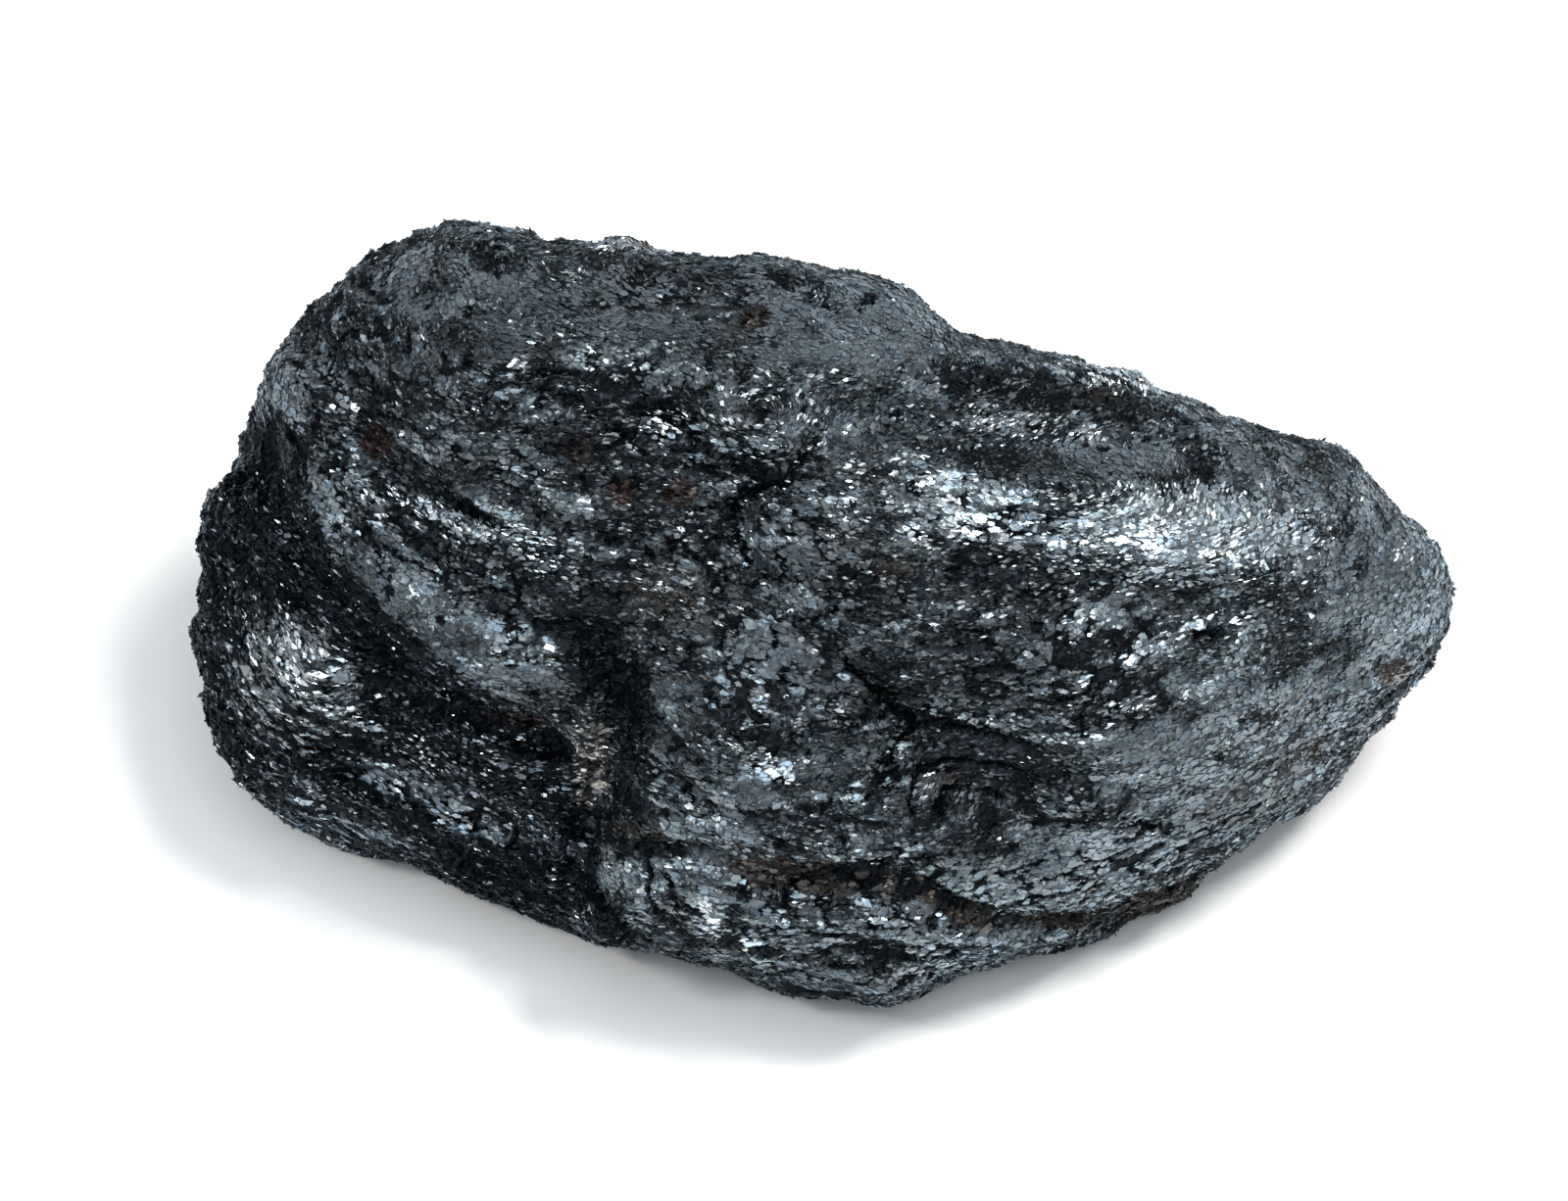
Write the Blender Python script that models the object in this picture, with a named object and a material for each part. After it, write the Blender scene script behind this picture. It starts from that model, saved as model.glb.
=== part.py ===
"""A hand specimen of specular hematite: one folded, foliated lump, resting on a flat break of its underside.

The lump is sculpted in the plane of its display face, which leans back so that it faces up and to the front.
In that plane u runs to the right, v runs up the face and w runs out of it. The constants are in millimetres;
the finished mesh is in the part's own frame, in metres with +Z up.
"""

import math

import bmesh
import bpy
import numpy as np
from mathutils import Matrix, Vector, noise

NAME = "hematite_specimen"
MM = 0.001

# The display face.
FACE_ELEVATION = math.radians(50.0)  # how far above the horizon the display face looks
SIGHT_DISTANCE = 380.0  # the outline below is the one seen from this far in front of the face
SIGHT_AXIS = np.array([-2.8, 1.05])  # where that line of sight meets the face
FACE_HEIGHT = 23.0  # height of the face's origin over the surface that the lump rests on

# The outline of the display face, clockwise from the notch on its left side.
OUTLINE = [
    (-41.5, 16.0), (-40.6, 18.8), (-38.2, 21.5), (-36.1, 23.5), (-34.1, 25.8), (-31.4, 27.4),
    (-28.5, 28.3), (-25.7, 28.7), (-22.8, 28.4), (-20.0, 27.6), (-17.1, 27.5), (-14.3, 27.9),
    (-11.4, 26.5), (-7.8, 26.2), (-2.9, 26.2), (0.7, 25.5), (3.6, 25.2), (6.1, 24.3),
    (7.8, 22.6), (9.7, 20.8), (12.1, 20.1), (15.7, 19.4), (20.0, 18.3), (22.8, 17.8),
    (25.0, 16.4), (29.2, 15.1), (33.5, 13.6), (37.8, 12.6), (39.9, 11.0), (42.5, 7.8),
    (45.5, 4.8), (46.3, 2.1), (45.7, -1.3), (43.5, -4.5), (39.9, -8.9), (35.7, -13.2),
    (31.4, -16.9), (28.2, -19.0), (26.8, -20.8), (22.8, -22.3), (18.2, -24.5), (14.0, -25.0),
    (10.4, -26.1), (7.5, -27.7), (4.3, -28.6), (0.7, -27.9), (-3.6, -27.1), (-6.8, -25.6),
    (-10.7, -25.0), (-14.3, -24.3), (-20.0, -22.6), (-25.7, -20.7), (-30.0, -18.3), (-34.2, -17.2),
    (-39.2, -14.9), (-42.8, -12.2), (-44.8, -9.2), (-45.7, -5.6), (-46.4, -0.9), (-45.4, 2.9),
    (-45.7, 7.4), (-43.9, 10.3), (-42.6, 11.4), (-42.5, 13.6),
]

# The body. The girdle is the line that the outline follows round it, between the display face and the back.
FRONT_DEPTH = 23.0
BACK_DEPTH = 27.0
SWELL = 0.92  # under 1, the face and the back are fuller than half ellipsoids
GIRDLE_DEPTH = -9.0
GIRDLE_LEAN = -0.05  # the right end lies further back
GIRDLE_TOE = (-10.0, 0.022)  # below this v the girdle comes forward, by this share of the distance squared
FACE_WRAP = 0.45  # the face's relief dies out over this share of the back
EVEN_TURNS = np.radians([-18, -12, -6, 0, 6, 12, 18])  # off the girdle the outline is the mean over these
EVEN_HEIGHTS = (0.12, 0.6)  # and is fully so from the second of these shares of the depth

# The upper fold ends in a rounded hem over the lower left lobe, and a cleft divides both from the middle.
HEM = [
    (-47.8, 17.5), (-42.0, 16.1), (-39.5, 13.4), (-38.4, 10.6), (-36.3, 5.9), (-32.4, 1.1), (-27.7, -2.7),
    (-22.7, -5.5), (-17.8, -7.2), (-14.4, -9.4), (-14.8, -12.9), (-16.0, -15.8), (-16.6, -18.8),
    (-16.3, -21.5), (-15.6, -27.5),
]
HEM_DROP = 7.0
HEM_SHALLOWS = (4.0, 18.0)  # between these depths below the face's origin the step grows lower
HEM_ROUND = 0.8  # over this width on the high side the hem rounds off
HEM_TOE = 1.5
HEM_ROLL = (1.3, 2.6, 1.8)  # height, distance behind the edge, width
HEM_TROUGH = (0.9, 6.2, 2.0)  # depth, distance behind the edge, width
HEM_OVERHANG = (-1.2, -1.8)  # how far the hem leans out, in u and v
HANG_BAND = (0.7, 1.6)  # distance behind the edge, width
CLEFT = [
    (-17.7, 2.4), (-16.6, -0.6), (-15.4, -3.7), (-14.6, -6.5), (-14.5, -9.6), (-15.1, -12.6), (-15.8, -15.5),
    (-16.1, -17.5),
]
CLEFT_DEPTH = 4.4
CLEFT_WIDTH = (0.9, 2.0)  # at its upper and lower end

# The lower left lobe steps back below a ledge.
LEDGE = [
    (-36.6, -10.2), (-33.2, -11.3), (-30.3, -11.7), (-26.4, -12.6), (-22.3, -14.7), (-18.9, -16.7),
]
LEDGE_DROP = 3.0

# The basal layer is parted from the face above by a seam, and stands out below it as a lip.
SEAM = [
    (-16.2, -17.7), (-9.9, -17.9), (-5.6, -18.3), (-2.8, -19.4), (1.5, -19.8), (4.7, -19.1), (7.9, -21.2),
    (11.4, -22.6), (15.7, -23.1), (20.7, -22.2), (25.7, -19.8), (29.6, -17.9),
]
SEAM_GROOVE = (1.3, 1.0)  # depth, width
SEAM_FALL = (0.3, 2.0, 2.6)  # how far the face falls back above it, how far above, over what width

# Open cracks and re-entrants: points, depth, width.
CRACKS = [
    ([(1.5, 13.2), (0.5, 12.2), (-1.4, 10.7), (-3.5, 9.7), (-5.3, 9.1), (-6.3, 7.0), (-6.3, 4.9),
      (-4.9, 3.0), (-2.8, 1.1)], 2.2, 0.75),
    ([(0.7, -1.5), (2.9, -4.1), (6.5, -8.0), (4.7, -10.5), (4.3, -12.9), (5.7, -15.1)], 1.3, 0.8),
    ([(-17.9, -16.9), (-17.8, -20.0), (-16.5, -22.8), (-13.8, -25.1)], 2.2, 1.0),
    ([(-38.2, 20.3), (-35.8, 17.9), (-32.5, 16.9)], 1.3, 1.0),
    ([(-25.6, 9.5), (-20.6, 7.3), (-15.6, 6.9)], 0.8, 1.0),
    ([(6.8, -8.8), (12.2, -9.2), (16.4, -11.1), (20.7, -12.4)], 0.6, 1.0),
    ([(10.2, 19.8), (8.6, 16.9), (5.7, 14.8), (1.5, 13.2)], 1.4, 1.4),
]

# Lumps (positive) and hollows (negative): centre u, v, half length, half width, turn in degrees, height.
LUMPS = [
    (-27.4, 17.3, 12.0, 7.5, -25.0, 2.6),  # crown of the upper fold
    (-39.1, 16.3, 3.2, 3.6, 20.0, 1.4),
    (-3.0, 20.3, 11.0, 5.0, -8.0, 1.8),  # its right shoulder
    (-4.2, 13.8, 5.0, 2.6, -12.0, 2.0),  # lens over the first crack
    (-1.0, 5.9, 5.4, 3.2, -8.0, 1.6),  # block beside it
    (-22.3, 2.6, 8.0, 3.2, -24.0, 1.3),
    (19.4, 7.9, 16.0, 3.6, -5.0, 2.2),  # long ridge to the right end
    (31.6, 2.5, 10.0, 5.0, -12.0, 1.6),
    (17.4, 14.8, 8.0, 2.4, -14.0, -1.6),
    (19.4, 1.2, 11.0, 2.6, -8.0, -1.3),
    (20.9, -9.2, 10.0, 5.5, -20.0, 2.0),
    (11.8, -12.4, 5.6, 2.2, -6.0, -0.5),
    (-6.3, -11.4, 7.6, 6.0, -15.0, 2.4),  # middle lobe
    (-10.6, -3.7, 3.6, 4.2, 20.0, 1.2),
    (-38.8, -5.2, 6.2, 5.0, -30.0, 5.6),  # boss on the lower left lobe
    (-33.5, 3.8, 5.0, 3.0, -50.0, -1.4),
    (-26.9, -8.4, 6.0, 2.6, -22.0, 1.0),
    (-28.4, -15.7, 10.0, 2.4, -24.0, 1.3),
    (-13.8, -20.6, 2.7, 2.9, 0.0, 1.3),  # knob at the left end of the lip
    (-8.3, -21.8, 3.6, 2.8, -20.0, 0.5),
    (1.1, -24.0, 8.5, 3.2, -8.0, 0.6),  # the lip
    (15.3, -24.9, 8.0, 1.8, 8.0, 0.6),
    (-1.5, -16.7, 6.0, 2.0, -6.0, 0.9),
    (0.5, 22.0, 0.9, 0.8, 0.0, -1.3),  # two pits near the top
    (3.3, 22.3, 1.5, 0.7, 20.0, -1.1),
    (-40.2, 11.9, 2.7, 2.2, 30.0, -3.0),  # hollow in the notch on the left
]

# Broken faces round the back and the ends: outward direction in the part's frame, distance from the middle.
MIDDLE = (0.0, 4.0, 17.0)
BREAKS = [
    ((0.15, 0.92, 0.36), 27.0), ((-0.62, 0.72, 0.30), 34.0), ((0.70, 0.62, 0.35), 31.5),
    ((-0.10, 0.80, -0.58), 25.0), ((0.88, 0.10, -0.46), 38.0), ((-0.93, 0.05, -0.35), 39.5),
    ((0.30, 0.95, -0.10), 27.5), ((0.10, -0.62, -0.78), 21.5),
]
BREAK_ROUND = 1.6  # over this distance their edges round off
BREAK_SHARE = 0.93  # of what stands beyond a broken face, this share is gone
LUMPS_BEHIND = [(13.0, 2.6), (5.0, 1.2)]  # spacing and height

# Foliation: the layers sag across the face in a shallow bow and wrap round the fold noses, and the surface
# is ribbed along them.
BOW_MIDDLE = 20.0
BOW = 0.0034
LAYER_WAVES = (22.0, 2.4)  # spacing, height
FOLD_NOSES = [  # centre u, v, half length, half width, turn in degrees, how far the layers are pushed aside
    (-4.2, 13.6, 5.2, 2.8, -12.0, 4.4),
    (11.2, -11.4, 6.4, 3.2, -8.0, -3.6),
    (-38.2, -4.5, 6.5, 5.0, -30.0, 2.2),
    (-6.1, -10.2, 6.0, 4.6, -35.0, 3.2),
    (-27.4, 17.3, 9.0, 6.0, -20.0, 3.0),
    (2.1, -25.0, 9.0, 3.2, 4.0, -3.4),
    (24.5, 7.1, 12.0, 4.0, -6.0, 2.6),
]
RIBS = [(8.0, 1.2), (4.0, 1.3), (2.2, 1.1)]  # spacing across the layers and height
RIB_STRETCH = 2.8
STEP_SPACING = 6.2  # layers break off in steps this far apart across them
STEP_HEIGHT = 0.6
STEP_EDGE = 0.8  # each rises over this share of its width, and drops over the rest
STEP_WANDER = 0.7
GIRDLE_RIBS = 0.4  # their share at the girdle
RIBS_ON_FACE = (0.02, 0.35)  # they reach full height between these shares of the depth
LAYER_LEAN = 0.55  # how far the layers climb for each millimetre behind the face
LEAN_BELOW = 12.0  # on the crown of the face they don't

SPHERE_LEVELS = 8
THINNED_TRIANGLES = 11400  # before the underside is broken off
GREY = (0.035, 0.040, 0.046, 1.0)


def smoothstep(low, high, x):
    t = np.clip((x - low) / (high - low), 0.0, 1.0)
    return t * t * (3.0 - 2.0 * t)


def bell(x):
    return np.exp(-x * x)


def outline_radius(angle, height):
    """Distance from the face's origin to its outline in each direction.

    It runs through the outline's own points at the girdle, and evens out away from it, at greater heights.
    """
    points = np.array(OUTLINE)
    at = np.arctan2(points[:, 1], points[:, 0])
    order = np.argsort(at)

    def exact(towards):
        return np.interp(towards, at[order], np.hypot(*points[order].T), period=2.0 * math.pi)

    even = sum(exact(angle + turn) for turn in EVEN_TURNS) / len(EVEN_TURNS)
    return exact(angle) + (even - exact(angle)) * smoothstep(*EVEN_HEIGHTS, height)


def along_line(points, u, v):
    """Signed distance to a polyline, positive on its right-hand side, and the share of its length there."""
    line = np.array(points)
    steps = np.linalg.norm(np.diff(line, axis=0), axis=1)
    starts = np.concatenate([[0.0], np.cumsum(steps)])
    best = np.full(u.shape, np.inf)
    side = np.ones(u.shape)
    share = np.zeros(u.shape)
    for start, end, step, before in zip(line[:-1], line[1:], steps, starts, strict=False):
        du, dv = (end - start) / step
        ahead = np.clip((u - start[0]) * du + (v - start[1]) * dv, 0.0, step)
        away = np.hypot(u - start[0] - ahead * du, v - start[1] - ahead * dv)
        nearer = away < best
        best = np.where(nearer, away, best)
        side = np.where(nearer, np.sign((u - start[0]) * dv - (v - start[1]) * du), side)
        share = np.where(nearer, (before + ahead) / starts[-1], share)
    return best * np.where(side == 0, 1.0, side), share


def rough(points, spacing, seed):
    """Smooth noise of that spacing in millimetres, about -1 to 1, at each point."""
    shift = Vector((seed * 7.31, seed * 3.17, seed * 5.73))
    return np.array([noise.noise(Vector(p) / spacing + shift) for p in points])


def hem_relief(u, v):
    """The recessed lower left lobe, the hem that hangs over it and the cleft."""
    inside, share = along_line(HEM, u, v)
    high, low = HEM_SHALLOWS
    drop = HEM_DROP * (1.0 - 0.4 * smoothstep(high, low, -v))
    w = -drop * smoothstep(-HEM_ROUND, HEM_TOE, inside)
    fold = 1.0 - smoothstep(0.5, 0.62, share)
    height, behind, width = HEM_ROLL
    w += fold * height * bell((inside + behind) / width)
    height, behind, width = HEM_TROUGH
    w -= fold * height * bell((inside + behind) / width)
    cleft, down = along_line(CLEFT, u, v)
    narrow, wide = CLEFT_WIDTH
    w -= CLEFT_DEPTH * bell(cleft / (narrow + (wide - narrow) * down)) * smoothstep(0.0, 0.45, down)
    below, share = along_line(LEDGE, u, v)
    ends = smoothstep(0.0, 0.12, share) * (1.0 - smoothstep(0.9, 1.0, share))
    w -= LEDGE_DROP * smoothstep(-0.5, 1.1, below) * bell(np.maximum(0.0, below) / 6.0) * ends
    return w, inside


def seam_relief(u, v):
    """The seam's groove, with the face falling back towards it from above."""
    below, share = along_line(SEAM, u, v)
    ends = smoothstep(0.0, 0.06, share) * (1.0 - smoothstep(0.9, 1.0, share))
    depth, width = SEAM_GROOVE
    groove = depth * bell(below / width)
    depth, behind, width = SEAM_FALL
    fall = depth * bell((below + behind) / width)
    return -(groove + fall) * ends


def crack_relief(u, v):
    w = np.zeros(u.shape)
    for points, depth, width in CRACKS:
        away, share = along_line(points, u, v)
        w -= depth * bell(away / width) * np.clip(np.sin(math.pi * share), 0.15, 1.0) ** 0.5
    return w


def mounds(listed, u, v):
    """The sum of smooth oval mounds: centre u, v, half length, half width, turn in degrees, height."""
    total = np.zeros(u.shape)
    for cu, cv, length, width, turn, height in listed:
        c, s = math.cos(math.radians(turn)), math.sin(math.radians(turn))
        along = ((u - cu) * c + (v - cv) * s) / length
        across = ((v - cv) * c - (u - cu) * s) / width
        total += height * bell(np.sqrt(along * along + across * across))
    return total


def layer(points):
    """Which layer of the foliation each point lies in, as a height across the layers in millimetres."""
    u, v, w = points.T
    spacing, height = LAYER_WAVES
    across = v - BOW * (u - BOW_MIDDLE) ** 2 + height * rough(points, spacing, 1)
    across += LAYER_LEAN * np.minimum(0.0, w - LEAN_BELOW)
    return across + mounds(FOLD_NOSES, u, v)


def rib_relief(points):
    """Ribs along the foliation."""
    across = layer(points)
    total = np.zeros(len(points))
    for number, (spacing, height) in enumerate(RIBS):
        laid = np.stack([points[:, 0] / RIB_STRETCH, across, points[:, 2] / RIB_STRETCH], axis=1)
        total += height * rough(laid, spacing, 2 + number)
    return total


def step_relief(points):
    """Layers that rise slowly and break off, one over the other."""
    across = layer(points)
    laid = np.stack([points[:, 0] / RIB_STRETCH, across, points[:, 2] / RIB_STRETCH], axis=1)
    place = across / STEP_SPACING + STEP_WANDER * rough(laid, STEP_SPACING, 6)
    part = place - np.floor(place)
    step = smoothstep(0.0, STEP_EDGE, part) - smoothstep(STEP_EDGE, 1.0, part)
    return STEP_HEIGHT * (step - 0.5) * smoothstep(-0.3, 0.3, rough(laid, 2.0 * STEP_SPACING, 7))


def to_frame(points):
    """From the face's u, v, w to the part's x, y, z, still in millimetres."""
    u, v, w = points.T
    c, s = math.cos(FACE_ELEVATION), math.sin(FACE_ELEVATION)
    return np.stack([u, v * s - w * c, v * c + w * s + FACE_HEIGHT], axis=1)


def broken(points):
    """The points with each broken face cut in, its edges rounded."""
    for direction, distance in BREAKS:
        outward = np.array(direction) / np.linalg.norm(direction)
        beyond = (points - np.array(MIDDLE)) @ outward - distance
        over = BREAK_ROUND * np.logaddexp(0.0, beyond / BREAK_ROUND)
        points = points - np.outer(over * BREAK_SHARE, outward)
    return points


def turned(directions):
    """Directions given in the face's u, v, w, in the part's frame."""
    a, b, c = directions.T
    cos, sin = math.cos(FACE_ELEVATION), math.sin(FACE_ELEVATION)
    return np.stack([a, b * sin - c * cos, b * cos + c * sin], axis=1)


def seen_from_afar(u, v, w):
    """The face widened away from the eye, so that its outline is the one seen from the sight distance."""
    nearness = (SIGHT_DISTANCE - w) / SIGHT_DISTANCE
    return SIGHT_AXIS[0] + (u - SIGHT_AXIS[0]) * nearness, SIGHT_AXIS[1] + (v - SIGHT_AXIS[1]) * nearness


def sculpted(directions):
    """Where each direction of the unit sphere lands on the lump, in the part's frame, in millimetres."""
    a, b, c = directions.T
    angle, rho = np.arctan2(b, a), np.hypot(a, b)
    radius = outline_radius(angle, np.abs(c))
    u, v = radius * rho * np.cos(angle), radius * rho * np.sin(angle)
    toe_start, toe_share = GIRDLE_TOE
    girdle = GIRDLE_DEPTH + GIRDLE_LEAN * u + toe_share * np.maximum(0.0, toe_start - v) ** 2
    body = np.where(c > 0, FRONT_DEPTH, -BACK_DEPTH) * np.abs(c) ** SWELL
    hem, inside = hem_relief(u, v)
    relief = hem + seam_relief(u, v) + crack_relief(u, v) + mounds(LUMPS, u, v)
    shown = 1.0 - smoothstep(0.0, FACE_WRAP, -c)
    smooth = np.stack([u, v, body], axis=1)
    ribs = rib_relief(smooth) + step_relief(smooth)
    on_face = smoothstep(*RIBS_ON_FACE, c)
    w = girdle + body + relief * shown + ribs * on_face
    behind_edge, width = HANG_BAND
    hang = bell((inside + behind_edge) / width) * shown * smoothstep(0.1, 0.4, c)
    u, v = seen_from_afar(u + hang * HEM_OVERHANG[0], v + hang * HEM_OVERHANG[1], w)
    points = to_frame(np.stack([u, v, w], axis=1))
    behind = smoothstep(0.05, 0.5, -c)
    points += (broken(points) - points) * behind[:, None]
    lumps = sum(height * rough(points, spacing, 11 + n) for n, (spacing, height) in enumerate(LUMPS_BEHIND))
    beside = GIRDLE_RIBS + (1.0 - GIRDLE_RIBS) * smoothstep(*RIBS_ON_FACE, -c)
    outward = lumps * behind + ribs * beside * (1.0 - on_face)
    return points + turned(directions) * outward[:, None]


def make_lump():
    """The sculpted lump as a mesh in metres, thinned to the triangles that its form needs."""
    ball = bmesh.new()
    bmesh.ops.create_icosphere(ball, subdivisions=SPHERE_LEVELS, radius=1.0)
    directions = np.array([vert.co for vert in ball.verts])
    for vert, point in zip(ball.verts, sculpted(directions), strict=True):
        vert.co = Vector(point) * MM
    mesh = bpy.data.meshes.new(NAME)
    ball.to_mesh(mesh)
    full = len(ball.faces)
    ball.free()
    lump = bpy.data.objects.new(NAME, mesh)
    bpy.context.scene.collection.objects.link(lump)
    thin = lump.modifiers.new("Thin", "DECIMATE")
    thin.ratio = THINNED_TRIANGLES / full
    graph = bpy.context.evaluated_depsgraph_get()
    thinned = bpy.data.meshes.new_from_object(lump.evaluated_get(graph))
    bpy.data.objects.remove(lump)
    return thinned


def break_off_underside(mesh):
    """Cuts the lump off flat at z = 0 and closes it with the face that it rests on."""
    cut = bmesh.new()
    cut.from_mesh(mesh)
    everything = cut.verts[:] + cut.edges[:] + cut.faces[:]
    down = (0, 0, -1)
    at = (0.0, 0.0, 0.0)
    bmesh.ops.bisect_plane(cut, geom=everything, dist=1e-7, plane_co=at, plane_no=down, clear_outer=True)
    rim = [edge for edge in cut.edges if edge.is_boundary]
    bmesh.ops.edgenet_fill(cut, edges=rim)
    bmesh.ops.triangulate(cut, faces=cut.faces[:])
    bmesh.ops.recalc_face_normals(cut, faces=cut.faces[:])
    cut.to_mesh(mesh)
    cut.free()


def seat(mesh):
    """Moves the lump so that its bounding box's bottom centre is the part's origin."""
    points = np.array([vert.co for vert in mesh.vertices])
    low, high = points.min(axis=0), points.max(axis=0)
    centre = (low + high) / 2.0
    mesh.transform(Matrix.Translation((-centre[0], -centre[1], -low[2])))


def hematite():
    material = bpy.data.materials.new("specular_hematite")
    material.use_nodes = True
    surface = material.node_tree.nodes["Principled BSDF"]
    surface.inputs["Base Color"].default_value = GREY
    surface.inputs["Metallic"].default_value = 0.75
    surface.inputs["Roughness"].default_value = 0.42
    return material


def main():
    for old in list(bpy.data.objects):
        bpy.data.objects.remove(old)
    collection = bpy.data.collections.new(NAME)
    bpy.context.scene.collection.children.link(collection)
    mesh = make_lump()
    break_off_underside(mesh)
    seat(mesh)
    mesh.name = NAME
    mesh.materials.clear()
    mesh.materials.append(hematite())
    mesh.shade_smooth()
    mesh.set_sharp_from_angle(angle=math.radians(40))
    collection.objects.link(bpy.data.objects.new(NAME, mesh))


main()
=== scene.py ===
"""The looks of the hematite specimen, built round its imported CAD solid.

The rock is one fine skin with the ledges, cracks and pits of its foliation. On it lie the mineral's scales
and grains, each a small closed plate rooted in the rock, so that its facets catch the light as crystals do.

Lengths are in millimetres, and become metres only when a mesh is made. Places on the display face are pixels
of the photograph, x to the right and y down, and turns are clockwise on it, in degrees.
"""

import math
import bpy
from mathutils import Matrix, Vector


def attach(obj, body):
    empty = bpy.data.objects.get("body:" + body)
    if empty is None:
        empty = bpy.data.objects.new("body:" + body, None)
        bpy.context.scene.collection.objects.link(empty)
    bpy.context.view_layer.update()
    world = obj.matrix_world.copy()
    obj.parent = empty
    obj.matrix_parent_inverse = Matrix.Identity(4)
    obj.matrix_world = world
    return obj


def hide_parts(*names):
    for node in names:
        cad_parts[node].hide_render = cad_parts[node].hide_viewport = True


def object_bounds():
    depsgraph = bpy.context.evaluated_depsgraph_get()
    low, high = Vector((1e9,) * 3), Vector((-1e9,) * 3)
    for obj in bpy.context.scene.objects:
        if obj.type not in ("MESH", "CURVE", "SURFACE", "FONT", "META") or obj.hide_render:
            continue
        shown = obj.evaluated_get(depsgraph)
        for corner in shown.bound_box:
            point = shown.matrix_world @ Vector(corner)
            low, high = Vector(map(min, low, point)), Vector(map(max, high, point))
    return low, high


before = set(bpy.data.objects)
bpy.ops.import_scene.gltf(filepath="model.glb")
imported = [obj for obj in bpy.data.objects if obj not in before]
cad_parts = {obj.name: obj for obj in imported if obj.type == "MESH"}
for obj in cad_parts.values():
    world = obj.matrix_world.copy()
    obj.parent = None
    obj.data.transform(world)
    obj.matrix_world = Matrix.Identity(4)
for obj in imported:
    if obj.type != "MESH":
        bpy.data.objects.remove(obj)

from types import SimpleNamespace

import bpy
import numpy as np
from mathutils import Matrix, Vector, noise

CAD_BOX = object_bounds()
NODE = "hematite_specimen"
BAKE_MAP = "OFBake"  # the UV map made for baking
MM = 0.001
TINY = 1e-12  # no direction is divided by less
NUMBERS, VECTORS = "ShaderNodeMath", "ShaderNodeVectorMath"
MIX_FIRST, MIX_SECOND, MIX_RESULT = 6, 7, 2  # where a Mix node has its colours

# ---- the view
PHOTO_CENTRE = (800.0, 613.0)
PHOTO_WIDTH = 1600
LENS, SENSOR = 120.0, 36.0
FACE_ORIGIN = np.array([-0.076, -4.609, 23.0])  # the display face's, in the part's frame
FACE_ELEVATION = math.radians(50.0)  # how far above the horizon the camera stands
SIGHT_DISTANCE = 380.0
CLIP = (0.01, 20.0)  # the camera's, in metres
SIGHT_AXIS = (-2.8, 1.05)  # where the sight line meets the face, right of and above its origin
MM_A_PIXEL = SIGHT_DISTANCE * SENSOR / (LENS * PHOTO_WIDTH)
COS, SIN = math.cos(FACE_ELEVATION), math.sin(FACE_ELEVATION)
RIGHT = np.array([1.0, 0.0, 0.0])
UP = np.array([0.0, SIN, COS])
TOWARDS = np.array([0.0, -COS, SIN])  # from the face to the camera

# ---- the light
KEY_FROM = 0.42 * RIGHT + 0.58 * UP + 0.70 * TOWARDS
SIDE_FROM = -0.60 * RIGHT + 0.30 * UP + 0.74 * TOWARDS
LIGHTS = [  # name, shape, direction, metres away, metres wide, watts, colour
    ("key", "DISK", KEY_FROM, 0.9, (0.26, 0.26), 6.4, (1.0, 0.985, 0.955)),
    ("side", "DISK", SIDE_FROM, 0.9, (0.16, 0.16), 2.3, (1.0, 1.0, 1.0)),  # it reaches under the hem
    ("sky", "RECTANGLE", 0.1 * RIGHT + 0.35 * UP + 0.93 * TOWARDS, 0.75, (0.95, 0.6), 4.0, (0.82, 0.94, 1.0)),
]
WORLD_COLOUR = (0.38, 0.39, 0.41, 1.0)
FLOOR_SIDE = 3.0
FLOOR_COLOUR = (0.86, 0.845, 0.83, 1.0)
FLOOR_ROUGHNESS = 0.85
FLOOR_SPECULAR = 0.1

# ---- the rock's skin
# A noise is given as its spacing, height and seed, and patches as their noise's spacing, the values at which
# they start and are full, and the seed. A run is how much longer than wide a pattern is, along the layers.
SEED_STEPS = (7.31, 3.17, 5.73)  # how far a seed moves a noise, in its spacings
VOXEL = 0.46
SMOOTHINGS = 7
INSET = 0.4  # how far inside the solid the skin starts, to leave room for ledges and scales
BASE_FADE = (0.2, 2.2)  # the relief fades in between these heights
UNDERSIDE = (-0.8, 0.6)  # it faces down by more than the first and lies below the second
JITTER = 0.1  # the skin's points move this far along it, to hide the grid they were cut on

# Foliation, as in the solid: the layers sag across the face in a bow and wrap round the fold noses.
BOW_MIDDLE = 20.0
BOW = 0.0034
LAYER_WAVES = (22.0, 2.4, 1)
FOLD_NOSES = [  # right, up, half length, half width, how far the layers are pushed aside, turn
    (-4.2, 13.6, 5.2, 2.8, 4.4, -12.0), (11.2, -11.4, 6.4, 3.2, -3.6, -8.0),
    (-38.2, -4.5, 6.5, 5.0, 2.2, -30.0), (-6.1, -10.2, 6.0, 4.6, 3.2, -35.0),
    (-27.4, 17.3, 9.0, 6.0, 3.0, -20.0), (2.1, -25.0, 9.0, 3.2, -3.4, 4.0), (24.5, 7.1, 12.0, 4.0, 2.6, -6.0),
]
LAYER_LEAN = 0.55
LEAN_BELOW = 12.0
LEDGES = [(4.4, 0.5, 41, 45), (2.1, 0.4, 42, 46), (1.15, 0.24, 43, 47)]  # spacing, height, two seeds
LEDGE_RUN = 2.7
LEDGE_BREAK = 0.8  # the share of its width over which a ledge rises, before it drops
LEDGE_SWAY = (2.2, 0.8)  # in ledge spacings, like the patches': the noise's spacing and height
LEDGE_PATCHES = (3.0, -0.25, 0.35)
RIPPLES = [(1.5, 0.34, 51), (0.8, 0.26, 52)]
RIPPLE_RUN = 1.9
SMOOTHED = 0.4  # what ledges and ripples lose where the ground is smoothest
GRIT = (0.55, 0.13, 61)
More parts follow.
